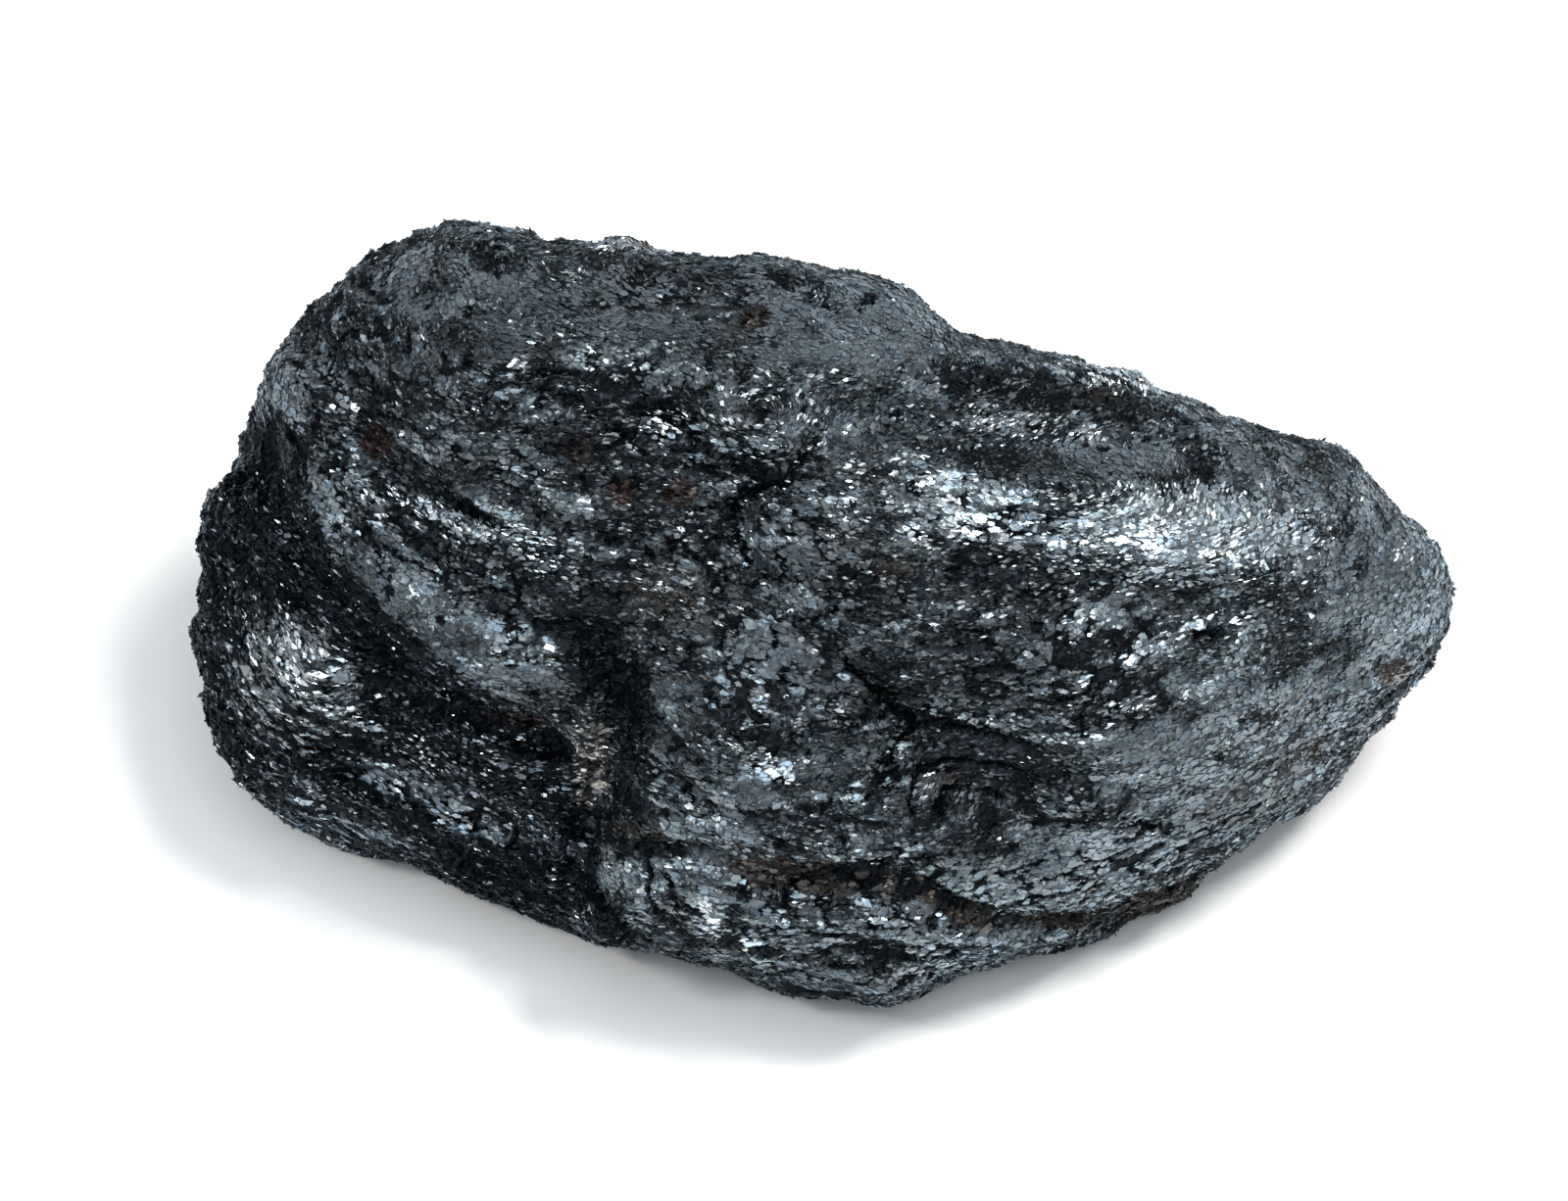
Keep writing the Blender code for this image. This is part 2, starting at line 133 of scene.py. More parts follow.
GRIT_BOUND = 1.2  # the tone at which there would be no grit
GAPS = [(2.7, 0.085, 81), (1.5, 0.075, 82)]  # black gaps, where a noise nears 0: spacing, how near, seed
GAP_EDGE = (0.5, 1.6)  # the shares of that at which they are black and gone
GAP_RUN = 2.0
GAP_PATCHES = (5.0, -0.25, 0.1, 85)
GAP_DEPTH = 0.34
GAP_DROP = 0.12  # scales and grains in a gap sit this much lower
POCKS = (0.9, 0.3, 0.45, 87)  # small dark hollows
POCK_RUN = 1.4
POCK_BLACKNESS = 0.8

# Open cracks on the face: points, depth, half width, how dark they are inside.
CRACKS = [
    ([(845, 428), (832, 458), (806, 480), (772, 499), (752, 512), (750, 540), (758, 566), (782, 594)],
     0.9, 0.32, 1.0),
    ([(852, 648), (866, 680), (888, 702), (912, 722), (936, 738), (912, 762), (903, 792), (905, 826)],
     1.0, 0.26, 1.0),
    ([(936, 738), (985, 742), (1030, 756), (1075, 776)], 0.6, 0.4, 1.0),
    ([(1062, 806), (1015, 782), (965, 774), (934, 790), (926, 822), (944, 852)], 0.5, 0.26, 1.0),
    ([(1040, 826), (1000, 806), (968, 806), (958, 826), (975, 846)], 0.4, 0.24, 1.0),
    ([(620, 872), (676, 872), (742, 872), (800, 884), (850, 892), (890, 884), (940, 902), (985, 930),
      (1040, 944), (1110, 944), (1170, 922), (1225, 892)], 0.8, 0.42, 0.3),
    ([(600, 868), (604, 905), (626, 945), (660, 968)], 1.0, 0.5, 1.0),
    ([(652, 872), (664, 890), (660, 915), (672, 938), (700, 958)], 0.7, 0.30, 1.0),
    ([(700, 884), (684, 892), (684, 915), (700, 930), (724, 936)], 0.4, 0.22, 1.0),
    ([(312, 402), (320, 432), (316, 456)], 0.7, 0.45, 1.0),
    ([(545, 376), (572, 376), (600, 384)], 0.5, 0.3, 1.0),
    ([(690, 404), (660, 408), (700, 420)], 0.6, 0.4, 1.0),
    ([(455, 512), (490, 524), (512, 534)], 0.6, 0.4, 1.0),
]
CRACK_TAPER = 0.2  # the share of its depth that a crack keeps at its ends
CRACK_RISE = 2.0  # how fast it deepens from there
PITS = [  # x, y, half length, half width, depth, turn
    (846, 308, 8, 6, 0.9), (890, 302, 16, 6, 0.8, -25), (1165, 846, 20, 7, 0.8), (1235, 645, 14, 7, 0.7),
    (905, 975, 26, 7, 0.6, 10), (998, 388, 16, 9, 0.8, 20), (281, 456, 32, 25, 1.0, 30),
    (338, 702, 8, 12, 0.5), (700, 716, 14, 7, 0.5), (640, 740, 10, 50, 0.7),
]
KNOBS = [  # the same, with their height
    (630, 893, 22, 20, 0.9), (603, 775, 12, 40, 0.5, 4), (700, 908, 14, 16, 0.4),
    (724, 948, 15, 20, 0.8, -20), (770, 968, 22, 12, 0.5, 35), (792, 482, 44, 14, 1.3, -15),
]

# ---- where the finishes lie
# Each is x, y, half length, half width, strength and, where it has one, turn.
PALE = [  # scales that lie flat, and show as smooth steel-blue ground
    (296, 690, 60, 56, 0.3), (300, 390, 50, 32, 1.1, -35), (335, 520, 48, 15, 0.8, 60),
    (345, 396, 38, 24, 0.7), (378, 506, 30, 22, 0.6, 45), (380, 850, 60, 8, 0.5, 20),
    (385, 795, 40, 6, 0.5, 20), (420, 606, 62, 20, 1.0, 38), (430, 292, 60, 32, 0.4),
    (440, 818, 80, 11, 0.8, 22), (455, 450, 55, 13, 0.7, 14), (460, 650, 40, 14, 0.7, 30),
    (484, 845, 50, 12, 0.85, 18), (520, 648, 60, 13, 0.9, 14), (528, 688, 56, 13, 0.95, 12),
    (530, 850, 30, 7, 0.5, 30), (560, 300, 60, 20, 0.3), (572, 330, 55, 17, 0.35, 2),
    (604, 775, 22, 54, 0.5, 4), (632, 892, 26, 18, 0.35), (640, 318, 30, 22, 0.75),
    (664, 372, 80, 18, 0.4, 2), (664, 925, 18, 26, 0.5), (668, 772, 12, 32, 0.9), (680, 330, 80, 20, 0.7, -3),
    (682, 712, 36, 15, 0.8), (716, 892, 42, 14, 0.95, 5), (720, 930, 26, 22, 0.8, 30),
    (722, 850, 44, 14, 0.65, 6), (745, 710, 44, 28, 0.8, -25), (745, 815, 55, 18, 0.85, 2),
    (805, 560, 48, 36, 0.4), (812, 335, 60, 36, 0.7, 5), (815, 640, 46, 42, 0.35),
    (815, 938, 60, 24, 0.75, 14), (905, 335, 60, 52, 0.95, 10), (905, 1003, 62, 16, 0.4, -8),
    (915, 945, 66, 14, 0.8, 4), (920, 440, 36, 26, 0.35), (925, 380, 40, 16, 0.5),
    (990, 966, 76, 18, 1.0, -8), (1000, 520, 80, 30, 0.8, 5), (1015, 900, 66, 26, 0.75, 5),
    (1075, 650, 50, 30, 0.6), (1085, 862, 56, 20, 0.8), (1112, 902, 66, 20, 0.75, -16),
    (1132, 620, 60, 16, 0.75, -6), (1150, 462, 70, 14, 0.7, 6), (1190, 862, 66, 26, 0.85, -16),
    (1200, 775, 66, 30, 0.6), (1212, 540, 130, 42, 0.8, 4), (1240, 800, 110, 60, 0.4, -30),
    (1250, 440, 90, 20, 0.35, 16), (1258, 745, 36, 30, 0.6), (1285, 790, 60, 46, 0.6, -35),
    (1310, 715, 34, 28, 0.7), (1330, 500, 80, 30, 0.4, 20), (1368, 700, 66, 36, 0.7, -40),
    (1392, 515, 50, 40, 0.45, 50), (1405, 600, 90, 110, 0.45), (1438, 600, 50, 75, 1.0),
]
DARK_GRAINS_AND_PAINTED_SHADE = [  # rough ground of small, dark grains, and painted shade where it lies under the hem, in the cleft and along the lower edge
    (230, 760, 50, 30, 0.6, 50), (235, 560, 34, 80, 0.5), (278, 458, 40, 28, 1.0, 30),
    (300, 555, 100, 44, 0.95, 52), (350, 330, 60, 26, 0.35, 12), (372, 352, 44, 14, 0.6, 10),
    (390, 660, 50, 30, 0.7, 45), (400, 400, 70, 14, 0.4, 10), (450, 740, 60, 40, 0.5, 25),
    (482, 516, 52, 9, 0.8, 22), (520, 888, 90, 26, 0.85, 22), (552, 574, 38, 24, 0.7, 30),
    (560, 760, 60, 44, 0.35, 20), (572, 378, 40, 8, 0.4, 4), (606, 650, 38, 66, 0.85, 12),
    (610, 460, 60, 46, 0.5), (620, 840, 40, 24, 0.6), (640, 560, 50, 60, 0.35), (645, 740, 30, 92, 1.0, 3),
    (672, 645, 42, 46, 0.5), (680, 870, 50, 9, 0.6), (686, 408, 34, 14, 0.8), (690, 480, 60, 30, 0.35),
    (708, 520, 36, 34, 0.55), (720, 350, 30, 16, 0.3, 10), (760, 330, 26, 20, 0.6, 10),
    (845, 860, 60, 14, 0.35, 5), (905, 815, 22, 24, 0.5), (905, 976, 44, 10, 0.7, 10),
    (930, 620, 130, 40, 0.3, 5), (930, 690, 60, 40, 0.35, 20), (970, 830, 60, 20, 0.35, 20),
    (985, 932, 40, 10, 0.4, 30), (992, 384, 36, 14, 0.8), (1000, 460, 90, 14, 0.35, 5),
    (1012, 774, 80, 26, 0.75, 15), (1020, 695, 36, 30, 0.4), (1022, 588, 76, 24, 0.7, 22),
    (1090, 944, 80, 9, 0.4), (1110, 408, 84, 13, 0.85, 5), (1165, 846, 28, 9, 0.8),
    (1195, 600, 50, 10, 0.6, 10), (1235, 645, 20, 9, 0.7), (1325, 650, 50, 40, 0.3), (1360, 545, 18, 14, 0.5),
]
BROWN = [  # dull brown and red-brown stains
    (350, 590, 60, 30, 0.25, 50), (375, 552, 9, 9, 0.9), (385, 450, 20, 18, 1.0), (460, 500, 60, 8, 0.4, 20),
    (515, 735, 60, 11, 0.6, 12), (560, 350, 16, 12, 0.5), (590, 460, 18, 20, 0.6), (606, 785, 20, 48, 0.4, 5),
    (635, 500, 18, 18, 0.8), (655, 852, 44, 13, 0.6, 10), (692, 502, 20, 18, 0.8), (700, 612, 80, 44, 0.5),
    (745, 336, 26, 18, 0.4, 20), (770, 324, 16, 15, 0.8), (830, 896, 105, 18, 1.0, 6),
    (870, 556, 50, 24, 0.45, 10), (895, 706, 30, 14, 0.4), (900, 900, 60, 14, 0.8, 12),
    (915, 585, 24, 13, 0.6), (965, 800, 34, 13, 0.6), (975, 928, 55, 12, 1.0, 24),
    (1000, 610, 60, 14, 0.35, 5), (1080, 944, 60, 9, 0.8), (1100, 398, 70, 14, 0.5, 5),
    (1170, 922, 70, 14, 0.8, -20), (1290, 800, 100, 34, 0.55, -38), (1330, 740, 90, 50, 0.4, -40),
    (1345, 470, 20, 16, 0.4), (1424, 688, 22, 14, 1.0, -40),
]
GLINTS = [  # where scales stand to the light
    (225, 570, 14, 12, 0.5), (236, 650, 18, 40, 0.2), (308, 697, 60, 58, 0.9),
    (318, 748, 34, 8, 0.9, -5), (330, 735, 40, 24, 1.0, 20), (400, 517, 32, 14, 1.0, 20),
    (430, 775, 90, 26, 0.22, 28), (450, 534, 50, 15, 1.0, 30), (470, 840, 60, 10, 0.14, 22),
    (480, 233, 26, 6, 0.6), (485, 750, 20, 6, 0.7, 10), (500, 752, 60, 14, 0.26, 18), (505, 586, 14, 8, 0.6),
    (535, 552, 56, 17, 1.0, 26), (548, 570, 40, 16, 0.6, 30), (560, 490, 16, 22, 0.5),
    (575, 795, 24, 30, 0.26), (590, 282, 22, 8, 0.5), (600, 412, 10, 24, 0.7), (620, 896, 24, 20, 0.5),
    (645, 254, 50, 10, 0.7, 6), (676, 434, 36, 13, 0.9, -10), (680, 610, 50, 10, 0.4, 30),
    (722, 430, 22, 10, 0.6), (724, 944, 13, 36, 1.0, -20), (750, 404, 12, 7, 0.8), (765, 966, 24, 9, 0.8, 35),
    (770, 440, 44, 14, 0.5, 20), (772, 770, 46, 10, 1.0, 34), (785, 480, 52, 24, 0.3, -20),
    (790, 411, 52, 8, 0.9, 10), (800, 551, 50, 8, 0.7, -5), (830, 660, 18, 12, 0.5),
    (832, 434, 22, 7, 0.9, 35), (840, 505, 12, 12, 0.7), (950, 500, 34, 16, 0.5, 40),
    (968, 545, 56, 9, 0.9, 5), (990, 516, 66, 24, 0.8, 4), (1050, 436, 70, 11, 0.8, 6),
    (1066, 556, 66, 12, 0.8, 30), (1090, 715, 60, 9, 0.6, 8), (1122, 444, 34, 9, 0.8),
    (1132, 386, 48, 14, 1.0, 12), (1180, 560, 150, 60, 0.3, 4), (1200, 540, 140, 44, 0.95, 4),
    (1430, 566, 14, 9, 0.8),
]
RUSTY = [  # dark red-brown spots
    (375, 552, 9, 9, 0.9), (385, 450, 19, 19, 1.0), (540, 730, 22, 12, 0.6), (560, 350, 16, 12, 0.5),
    (590, 460, 18, 20, 0.8), (635, 500, 18, 17, 1.0), (692, 502, 19, 18, 0.9), (770, 324, 16, 14, 0.8),
    (876, 714, 9, 9, 0.8), (905, 480, 12, 12, 0.5), (985, 800, 26, 14, 0.6), (1155, 716, 12, 8, 0.6),
]
# The edge of the hem and of the cleft: the lobe that it hangs over lies to its left and below it.
HEM_EDGE = [(262, 425), (297, 440), (304, 482), (318, 528), (352, 580), (402, 634), (455, 680), (505, 712),
            (555, 736), (596, 768), (594, 840), (600, 868), (606, 905), (626, 945), (660, 975)]
HEM_PALE_SHARE = 0.45  # the edge is pale over the first part of its length
PALE_STAINS = [  # buff fragments at the top edge and the tip, and the tan ridge of the cleft
    (1426, 690, 17, 9, 1.0, -40), (655, 250, 36, 7, 0.6, 4), (604, 775, 24, 56, 1.0, 4),
]
PAINTED_LIGHT = [  # painted light: ovals where the colours are made brighter
    (240, 590, 50, 60, 0.5), (285, 815, 100, 44, 1.2, 35), (322, 735, 44, 36, 1.0), (345, 398, 42, 26, 0.6),
    (345, 525, 26, 34, 0.8, -20), (345, 525, 30, 40, 0.5, -20), (360, 525, 26, 30, 1.1),
    (370, 760, 50, 30, 1.2, 30), (400, 790, 170, 60, 0.9, 25), (420, 425, 110, 38, 0.22, 14),
    (455, 535, 80, 18, 0.7, 24), (470, 265, 60, 18, 0.3, -10), (525, 770, 50, 20, 1.1, 15),
    (540, 566, 40, 16, 0.7, 26), (602, 812, 24, 26, 1.3), (604, 780, 26, 60, 1.2), (620, 388, 50, 32, 1.1),
    (655, 250, 60, 10, 0.8, 4), (720, 450, 50, 30, 0.3), (724, 938, 14, 24, 1.5, -20),
    (730, 540, 60, 26, 0.25), (750, 712, 36, 26, 0.65), (770, 966, 26, 12, 1.2, 35),
    (775, 776, 46, 12, 0.7, 34), (785, 474, 46, 26, 0.7), (830, 890, 110, 22, 0.8, 4),
    (852, 832, 40, 22, 0.35), (900, 330, 90, 50, 0.15), (925, 882, 36, 24, 0.5), (970, 970, 60, 24, 0.4),
    (985, 930, 80, 34, 0.4, 10), (1030, 765, 50, 18, 0.5, 10), (1050, 440, 80, 24, 0.3, 6),
    (1060, 370, 80, 20, 0.4, 8), (1115, 668, 44, 34, 0.6), (1120, 565, 40, 40, 0.8), (1120, 672, 40, 30, 0.8),
    (1125, 582, 44, 20, 1.3), (1130, 880, 80, 40, 0.3, -10), (1140, 388, 66, 18, 1.5, 12),
    (1160, 545, 190, 56, 0.45, 4), (1190, 440, 90, 40, 0.3, 12), (1258, 745, 40, 36, 0.3),
    (1260, 660, 50, 60, 0.4), (1290, 525, 70, 40, 0.9, 4), (1320, 770, 90, 70, 0.25, -35),
    (1375, 755, 70, 40, 0.55, -40), (1452, 710, 56, 90, 0.6, -20), (1460, 560, 30, 50, 0.4),
]
PAINTED_SHADE = [  # painted shade: ovals where the colours are made darker
    (215, 695, 30, 30, 0.5), (345, 702, 12, 14, 0.35), (360, 460, 26, 26, 0.25), (380, 575, 54, 28, 0.5, 45),
    (388, 366, 44, 12, 0.3, 8), (410, 565, 30, 40, 0.55, -20), (430, 370, 60, 24, 0.35),
    (440, 603, 34, 22, 0.4, 30), (455, 640, 60, 36, 0.66, 35), (470, 775, 36, 20, 0.4, 30),
    (480, 500, 50, 30, 0.3, 20), (521, 406, 34, 18, 0.5), (540, 335, 60, 44, 0.35),
    (540, 524, 50, 14, 0.5, 25), (545, 705, 50, 24, 0.3, 20), (600, 465, 60, 46, 0.42),
    (600, 735, 20, 22, 0.3), (610, 885, 24, 20, 0.3), (626, 362, 36, 14, 0.35), (650, 395, 24, 16, 0.2),
    (655, 645, 40, 46, 0.5), (675, 364, 44, 32, 0.55), (692, 738, 40, 54, 0.6), (700, 905, 60, 26, 0.1),
    (708, 510, 36, 38, 0.5), (732, 408, 36, 26, 0.5), (735, 322, 36, 26, 0.25), (748, 945, 12, 24, 0.5),
    (750, 660, 34, 22, 0.3), (770, 440, 42, 12, 0.35), (805, 795, 66, 46, 0.45), (810, 605, 56, 44, 0.5),
    (812, 720, 26, 20, 0.4), (815, 396, 46, 40, 0.5), (860, 995, 40, 20, 0.3), (872, 665, 50, 38, 0.5),
    (878, 928, 26, 16, 0.75), (890, 930, 40, 20, 0.45), (905, 815, 30, 30, 0.4), (910, 455, 60, 40, 0.15, 25),
    (930, 492, 34, 18, 0.35, 30), (985, 850, 52, 34, 0.45), (1000, 893, 30, 16, 0.3),
    (1040, 950, 34, 14, 0.3), (1050, 670, 26, 38, 0.55), (1066, 872, 40, 24, 0.5), (1166, 553, 22, 16, 0.3),
    (1180, 615, 50, 26, 0.35), (1180, 755, 60, 26, 0.35, -10), (1200, 665, 20, 18, 0.15, 20),
    (1230, 722, 34, 24, 0.2), (1240, 700, 34, 24, 0.25), (1285, 445, 40, 36, 0.3), (1335, 650, 56, 50, 0.25),
    (1400, 625, 30, 40, 0.2), (1420, 640, 24, 18, 0.2),
]
BOSS = [(306, 698, 68, 64, 1.0, 20)]  # the lobe's glittering boss
EVEN = [  # fewer gaps between the flakes
    (604, 775, 28, 62, 0.9, 4), (690, 335, 120, 34, 0.65, -2), (880, 340, 95, 50, 0.75, 10),
    (1215, 535, 150, 48, 0.9, 4), (1235, 765, 130, 60, 0.7, -10), (1350, 620, 190, 230, 0.65),
]
HEM_EDGE_WIDTH = 1.3  # how far its pale edge fades out on either side
OVAL_EDGE = (0.55, 1.35)  # the shares of its size at which an oval is full and gone
FRONT_DEPTH = (-16.0, -9.0)  # the face's finishes fade in between these heights over it
FRONT_SLANT = (-0.35, 0.05)  # and these cosines to the line of sight

PATCH_RUN = 2.6
WANDER = (2.0, 9.0, 31)  # these noises move the patches' edges, in pixels
DRIFT = (3.4, 7.0, 32)
BROWN_STRAY, SHADE_STRAY, SPOT_STRAY, GLINT_STRAY = 0.6, 0.6, 0.5, 0.4  # the shares that these take
LOBE_BELOW = 0.72  # past this share of the hem's edge, the lobe lies below the cleft
LOBE_STRAY = (2.0, 0.6)  # the shares that the lobe's border takes there and before
LOBE_BORDER = (-5.0, 5.0)  # pixels
LOBE_UNDER_PALE = 0.45  # what the lobe loses to pale scales
CLUMPS = (0.9, -0.35, 0.35, 39)  # glitter comes in these

# The tone runs from 0, for dark and rough grains, to 1, for smooth and pale scales.
MIDDLE_TONE = 0.45
PALE_TONE, DARK_TONE, HEM_TONE, LOBE_TONE, BOSS_TONE = 0.55, -0.62, 0.3, -0.1, -0.5
PATCHES = [(4.2, 0.26, 33), (1.7, 0.44, 34), (0.8, 0.46, 38)]
SMOOTH_TONE = (0.3, 0.8)  # between these the ground turns from rough to smooth
BACK_TONE = (9.0, 0.5, 35)
BACK_BROWN = (7.0, 0.25, 0.6, 36)
BACK_GLINTS = (5.0, 0.22, 0.5, 37)
BACK_STRENGTH = 0.5  # of the last two

# ---- the scales and grains
SCALES = SimpleNamespace(
    name="scales", count=38000, pieces=2, sides=5, outlined=True,
    half_length=(0.26, 0.37),  # on rough and on smooth ground
    half_width=0.62,  # share of the half length
    rise=0.05, dome=0.008,
    tilt=(24.0, 4.0),  # degrees, the same
    density=(0.35, 1.35), density_tone=(0.25, 0.7),  # on low and on high tones, and the range between
)
GRAINS = SimpleNamespace(
    name="grains", count=70000, pieces=3, sides=4, outlined=False, half_length=(0.25, 0.33), half_width=0.36,
    rise=0.09, dome=0.0, tilt=(36.0, 16.0), density=(1.35, 0.35), density_tone=(0.25, 0.8),
)
BACK_DENSITY, FRONT_DENSITY = 0.65, 0.65  # everywhere, and what the face adds
BARE_BELOW = 0.25  # nothing lies lower than this
ROOT = 0.45  # how deep each is rooted
SIZE_SPREAD = 0.28
WIDTH_SPREAD = 0.15
RISE_SPREAD = (0.2, 1.6)
CORNER_STRAY = 0.28  # how far corners stray along the rim, as a share of a side
REACH_SPREAD = 0.13  # and how unevenly far out they lie
REACH_LIMITS = (0.7, 1.3)
GAP_SHRINKING = 0.45
BOSS_GROWTH, BOSS_GLINT_GROWTH = 0.5, 0.7  # the second is for lit ones, on top of the first
PLAIN_SHARE = (0.25, 0.5)  # how far they follow the form under the relief, and what smooth ground adds
TILT_SPREAD = 0.75  # one standard deviation, as a share of the tilt
SPARKLE_SHARE = 0.0022  # the share that stands to the light, anywhere
LOBE_SPARKLE = 0.09  # in the clumps on the dark lobe
GLINT_SHARE = 0.48  # where the glints are strongest
CLUMPING = (0.45, 0.8)  # the share of that outside the clumps, and what they add
BOSS_GLITTER = 0.35  # what the boss adds
BOSS_FROM_SIDE = 0.7  # the share of the boss's that stands to the side light
GLINT_TILT = 7.0
LIT_SLANT = 0.15  # the least cosine between a lit one and its ground
SHEEN = 0.45  # how far the others lean to the light among the glints
GLINT_SIZE = (0.5, 1.15)  # the share of its size that a lit one keeps
GLINT_HALF_LENGTH = 0.36  # at most
GLINT_HALF_WIDTH = 0.66  # share of the width that it keeps
LIT_FACING = (0.9, 0.98)  # the cosines at which one starts to face a light, and does so
LIT_GROUND = (0.88, 0.97)  # the same for the ground
STRAY_PAINTED_SHADE = 0.65  # painted shade: what colour those lose that face a light by chance, to damp their highlights
CELL_MARGIN = 0.02  # of each side's cell on the rock's bake map
CELL_RADIUS = 0.42  # a plate's size in its cell

# Colours of the mineral, as it reflects.
STEEL = np.array([0.219, 0.262, 0.293])
GRANULAR = np.array([0.127, 0.145, 0.154])
DEEP = np.array([0.0085, 0.0115, 0.015])
BLACK = DEEP * 0.5
TAN = np.array([0.066, 0.055, 0.047])
RUST = np.array([0.021, 0.0052, 0.0082])
BUFF = np.array([0.205, 0.192, 0.182])
BRIGHT = np.array([0.31, 0.345, 0.365])
SHINE = (-0.68, 0.72)  # how bright the lit ones are: middle and spread, as logarithms
SHINE_LIMITS = (0.1, 1.6)
COLOUR_LIMITS = (0.003, 0.85)
STEEL_TONE = (0.38, 0.7)  # between these tones, granular ore turns to steel
DEEP_TONE = (0.16, 0.0)  # and between these to the deepest colour
DEEP_SHARE = 0.8
TONE_STRAY = 0.07
UNEVENNESS = (0.5, -0.35, 0.55)  # of the colours, and what smooth ground and the lobe add
COLOUR_DRIFT = (3.5, 0.28, 72)
COLOUR_RUN = 1.8
LOBE_PAINTED_SHADE = np.array([0.66, 0.65, 0.62])  # painted shade: what colours lose on the lobe under the hem's overhang
STAIN_EDGE = (0.25, 0.85)  # the strengths at which a stain starts to show and is full
STAIN_SHARE, STAIN_STRAY = 0.9, 0.1
GLINT_PAINTED_SHEEN = 0.4  # painted sheen: how much brighter the others are coloured among the glints
WARMTH = 0.05  # how unevenly warm they are
WARM_SHIFT = np.array([1.0, 0.1, -0.9])
GAP_SHOWS = (0.2, 0.7)
GAP_BLACKNESS = 0.92
EDGE_TINT = (0.66, 0.72, 0.78, 1.0)  # what black ore reflects where it is seen edge on
EDGE_SPECULAR = 0.35

# Finishes of ore, which is made of cells with a gloss and a slant of their own.
PLATE = SimpleNamespace(metallic=0.85, roughness=(0.22, 0.44), channel=0, cell=0.22, shift=0.3, glitter=0.08)
ROCK = SimpleNamespace(metallic=0.75, roughness=(0.28, 0.6), channel=1, cell=0.34, shift=0.0, glitter=0.7)
RIM_SPREAD = (0.76, 1.14)  # a dark outline's strength at the corners; it is 0 in the middle
RIM = (0.72, 0.93, 0.0, 0.85)  # the strengths at which it starts and is full, and its shares there
ROCK_STEEL, ROCK_TAN = STEEL * 0.7, TAN * 0.6
ROCK_UNEVENNESS = 0.5  # a cell's own tone
ROCK_TONE = (0.5, 1.3)  # between these it turns from the deepest colour to steel
ROCK_STAIN = (0.15, 0.8, 0.0, 0.85)
ROCK_GAP = (0.1, 0.6)
ROCK_LOBE_PAINTED_SHADE = 0.5  # painted shade: how like a gap the rock looks on the lobe under the hem
SEED = 20


# ---- helpers
def smoothstep(low, high, x):
    t = np.clip((x - low) / (high - low), 0.0, 1.0)
    return t * t * (3.0 - 2.0 * t)


def unit(vectors):
    return vectors / np.maximum(np.linalg.norm(vectors, axis=-1, keepdims=True), TINY)


def rough(points, spacing, seed):
    """Smooth noise of that spacing, about -1 to 1, at each point."""
    shift = Vector([seed * step for step in SEED_STEPS])
    return np.array([noise.noise(Vector(p) / spacing + shift) for p in points])


def waves(points, spacing, height, seed):
    return height * rough(points, spacing, seed)


def patchy(points, spacing, start, full, seed):
    """From 0 to 1, as the noise goes from one value to the other."""
    return smoothstep(start, full, rough(points, spacing, seed))


def to_face(points):
    """From the part's frame to right, up and out on the display face."""
    away = points - FACE_ORIGIN
    return np.stack([away @ RIGHT, away @ UP, away @ TOWARDS], axis=1)


def on_photo(face):
    """The photograph's pixel at which each point of the face shows."""
    nearness = MM_A_PIXEL * (SIGHT_DISTANCE - face[:, 2]) / SIGHT_DISTANCE
    x = PHOTO_CENTRE[0] + (face[:, 0] - SIGHT_AXIS[0]) / nearness
    y = PHOTO_CENTRE[1] - (face[:, 1] - SIGHT_AXIS[1]) / nearness
    return np.stack([x, y], axis=1)


def turned(oval, x, y):
    """Where each point lies along and across an oval, as shares of its size, and the oval's strength."""
    cx, cy, length, width, strength, turn = (*oval, 0)[:6]
    c, s = math.cos(math.radians(turn)), math.sin(math.radians(turn))
    return ((x - cx) * c + (y - cy) * s) / length, ((y - cy) * c - (x - cx) * s) / width, strength


def ovals(listed, x, y):
    """The strongest of the listed ovals at each point, soft-edged."""
    strongest = np.zeros(x.shape)
    for oval in listed:
        along, across, strength = turned(oval, x, y)
        strongest = np.maximum(strongest, strength * (1.0 - smoothstep(*OVAL_EDGE, np.hypot(along, across))))
    return strongest


def mounds(listed, x, y):
    """The summed heights of the listed mounds at each point."""
    total = np.zeros(x.shape)
    for mound in listed:
        along, across, height = turned(mound, x, y)
        total += height * np.exp(-(along * along + across * across))
    return total


def near_line(points, x, y):
    """How many pixels each point is from a line, above 0 on the right of its way in the picture, and the
    share of the line's length at which it is nearest."""
    line = np.array(points, float)
    steps = np.linalg.norm(np.diff(line, axis=0), axis=1)
    starts = np.concatenate([[0.0], np.cumsum(steps)])
    best = np.full(x.shape, np.inf)
    share = np.zeros(x.shape)
    side = np.zeros(x.shape)
    for start, end, step, before in zip(line[:-1], line[1:], steps, starts):
        dx, dy = (end - start) / step
        ahead = np.clip((x - start[0]) * dx + (y - start[1]) * dy, 0.0, step)
        away = np.hypot(x - start[0] - ahead * dx, y - start[1] - ahead * dy)
        nearer = away < best
        best = np.where(nearer, away, best)
        share = np.where(nearer, (before + ahead) / starts[-1], share)
        side = np.where(nearer, np.sign(dx * (y - start[1]) - dy * (x - start[0])), side)
    return best * side, share


def layer(face):
    """Which layer of the foliation each point lies in, as a height across the layers."""
    u, v, w = face.T
    across = v - BOW * (u - BOW_MIDDLE) ** 2 + waves(face, *LAYER_WAVES)
    across += LAYER_LEAN * np.minimum(0.0, w - LEAN_BELOW)
    return across + mounds(FOLD_NOSES, u, v)


def got(items, name, width, kind=float):
    """One property of all the items."""
    values = np.empty(len(items) * width, kind)
    items.foreach_get(name, values)
    return values.reshape(-1, width) if width > 1 else values


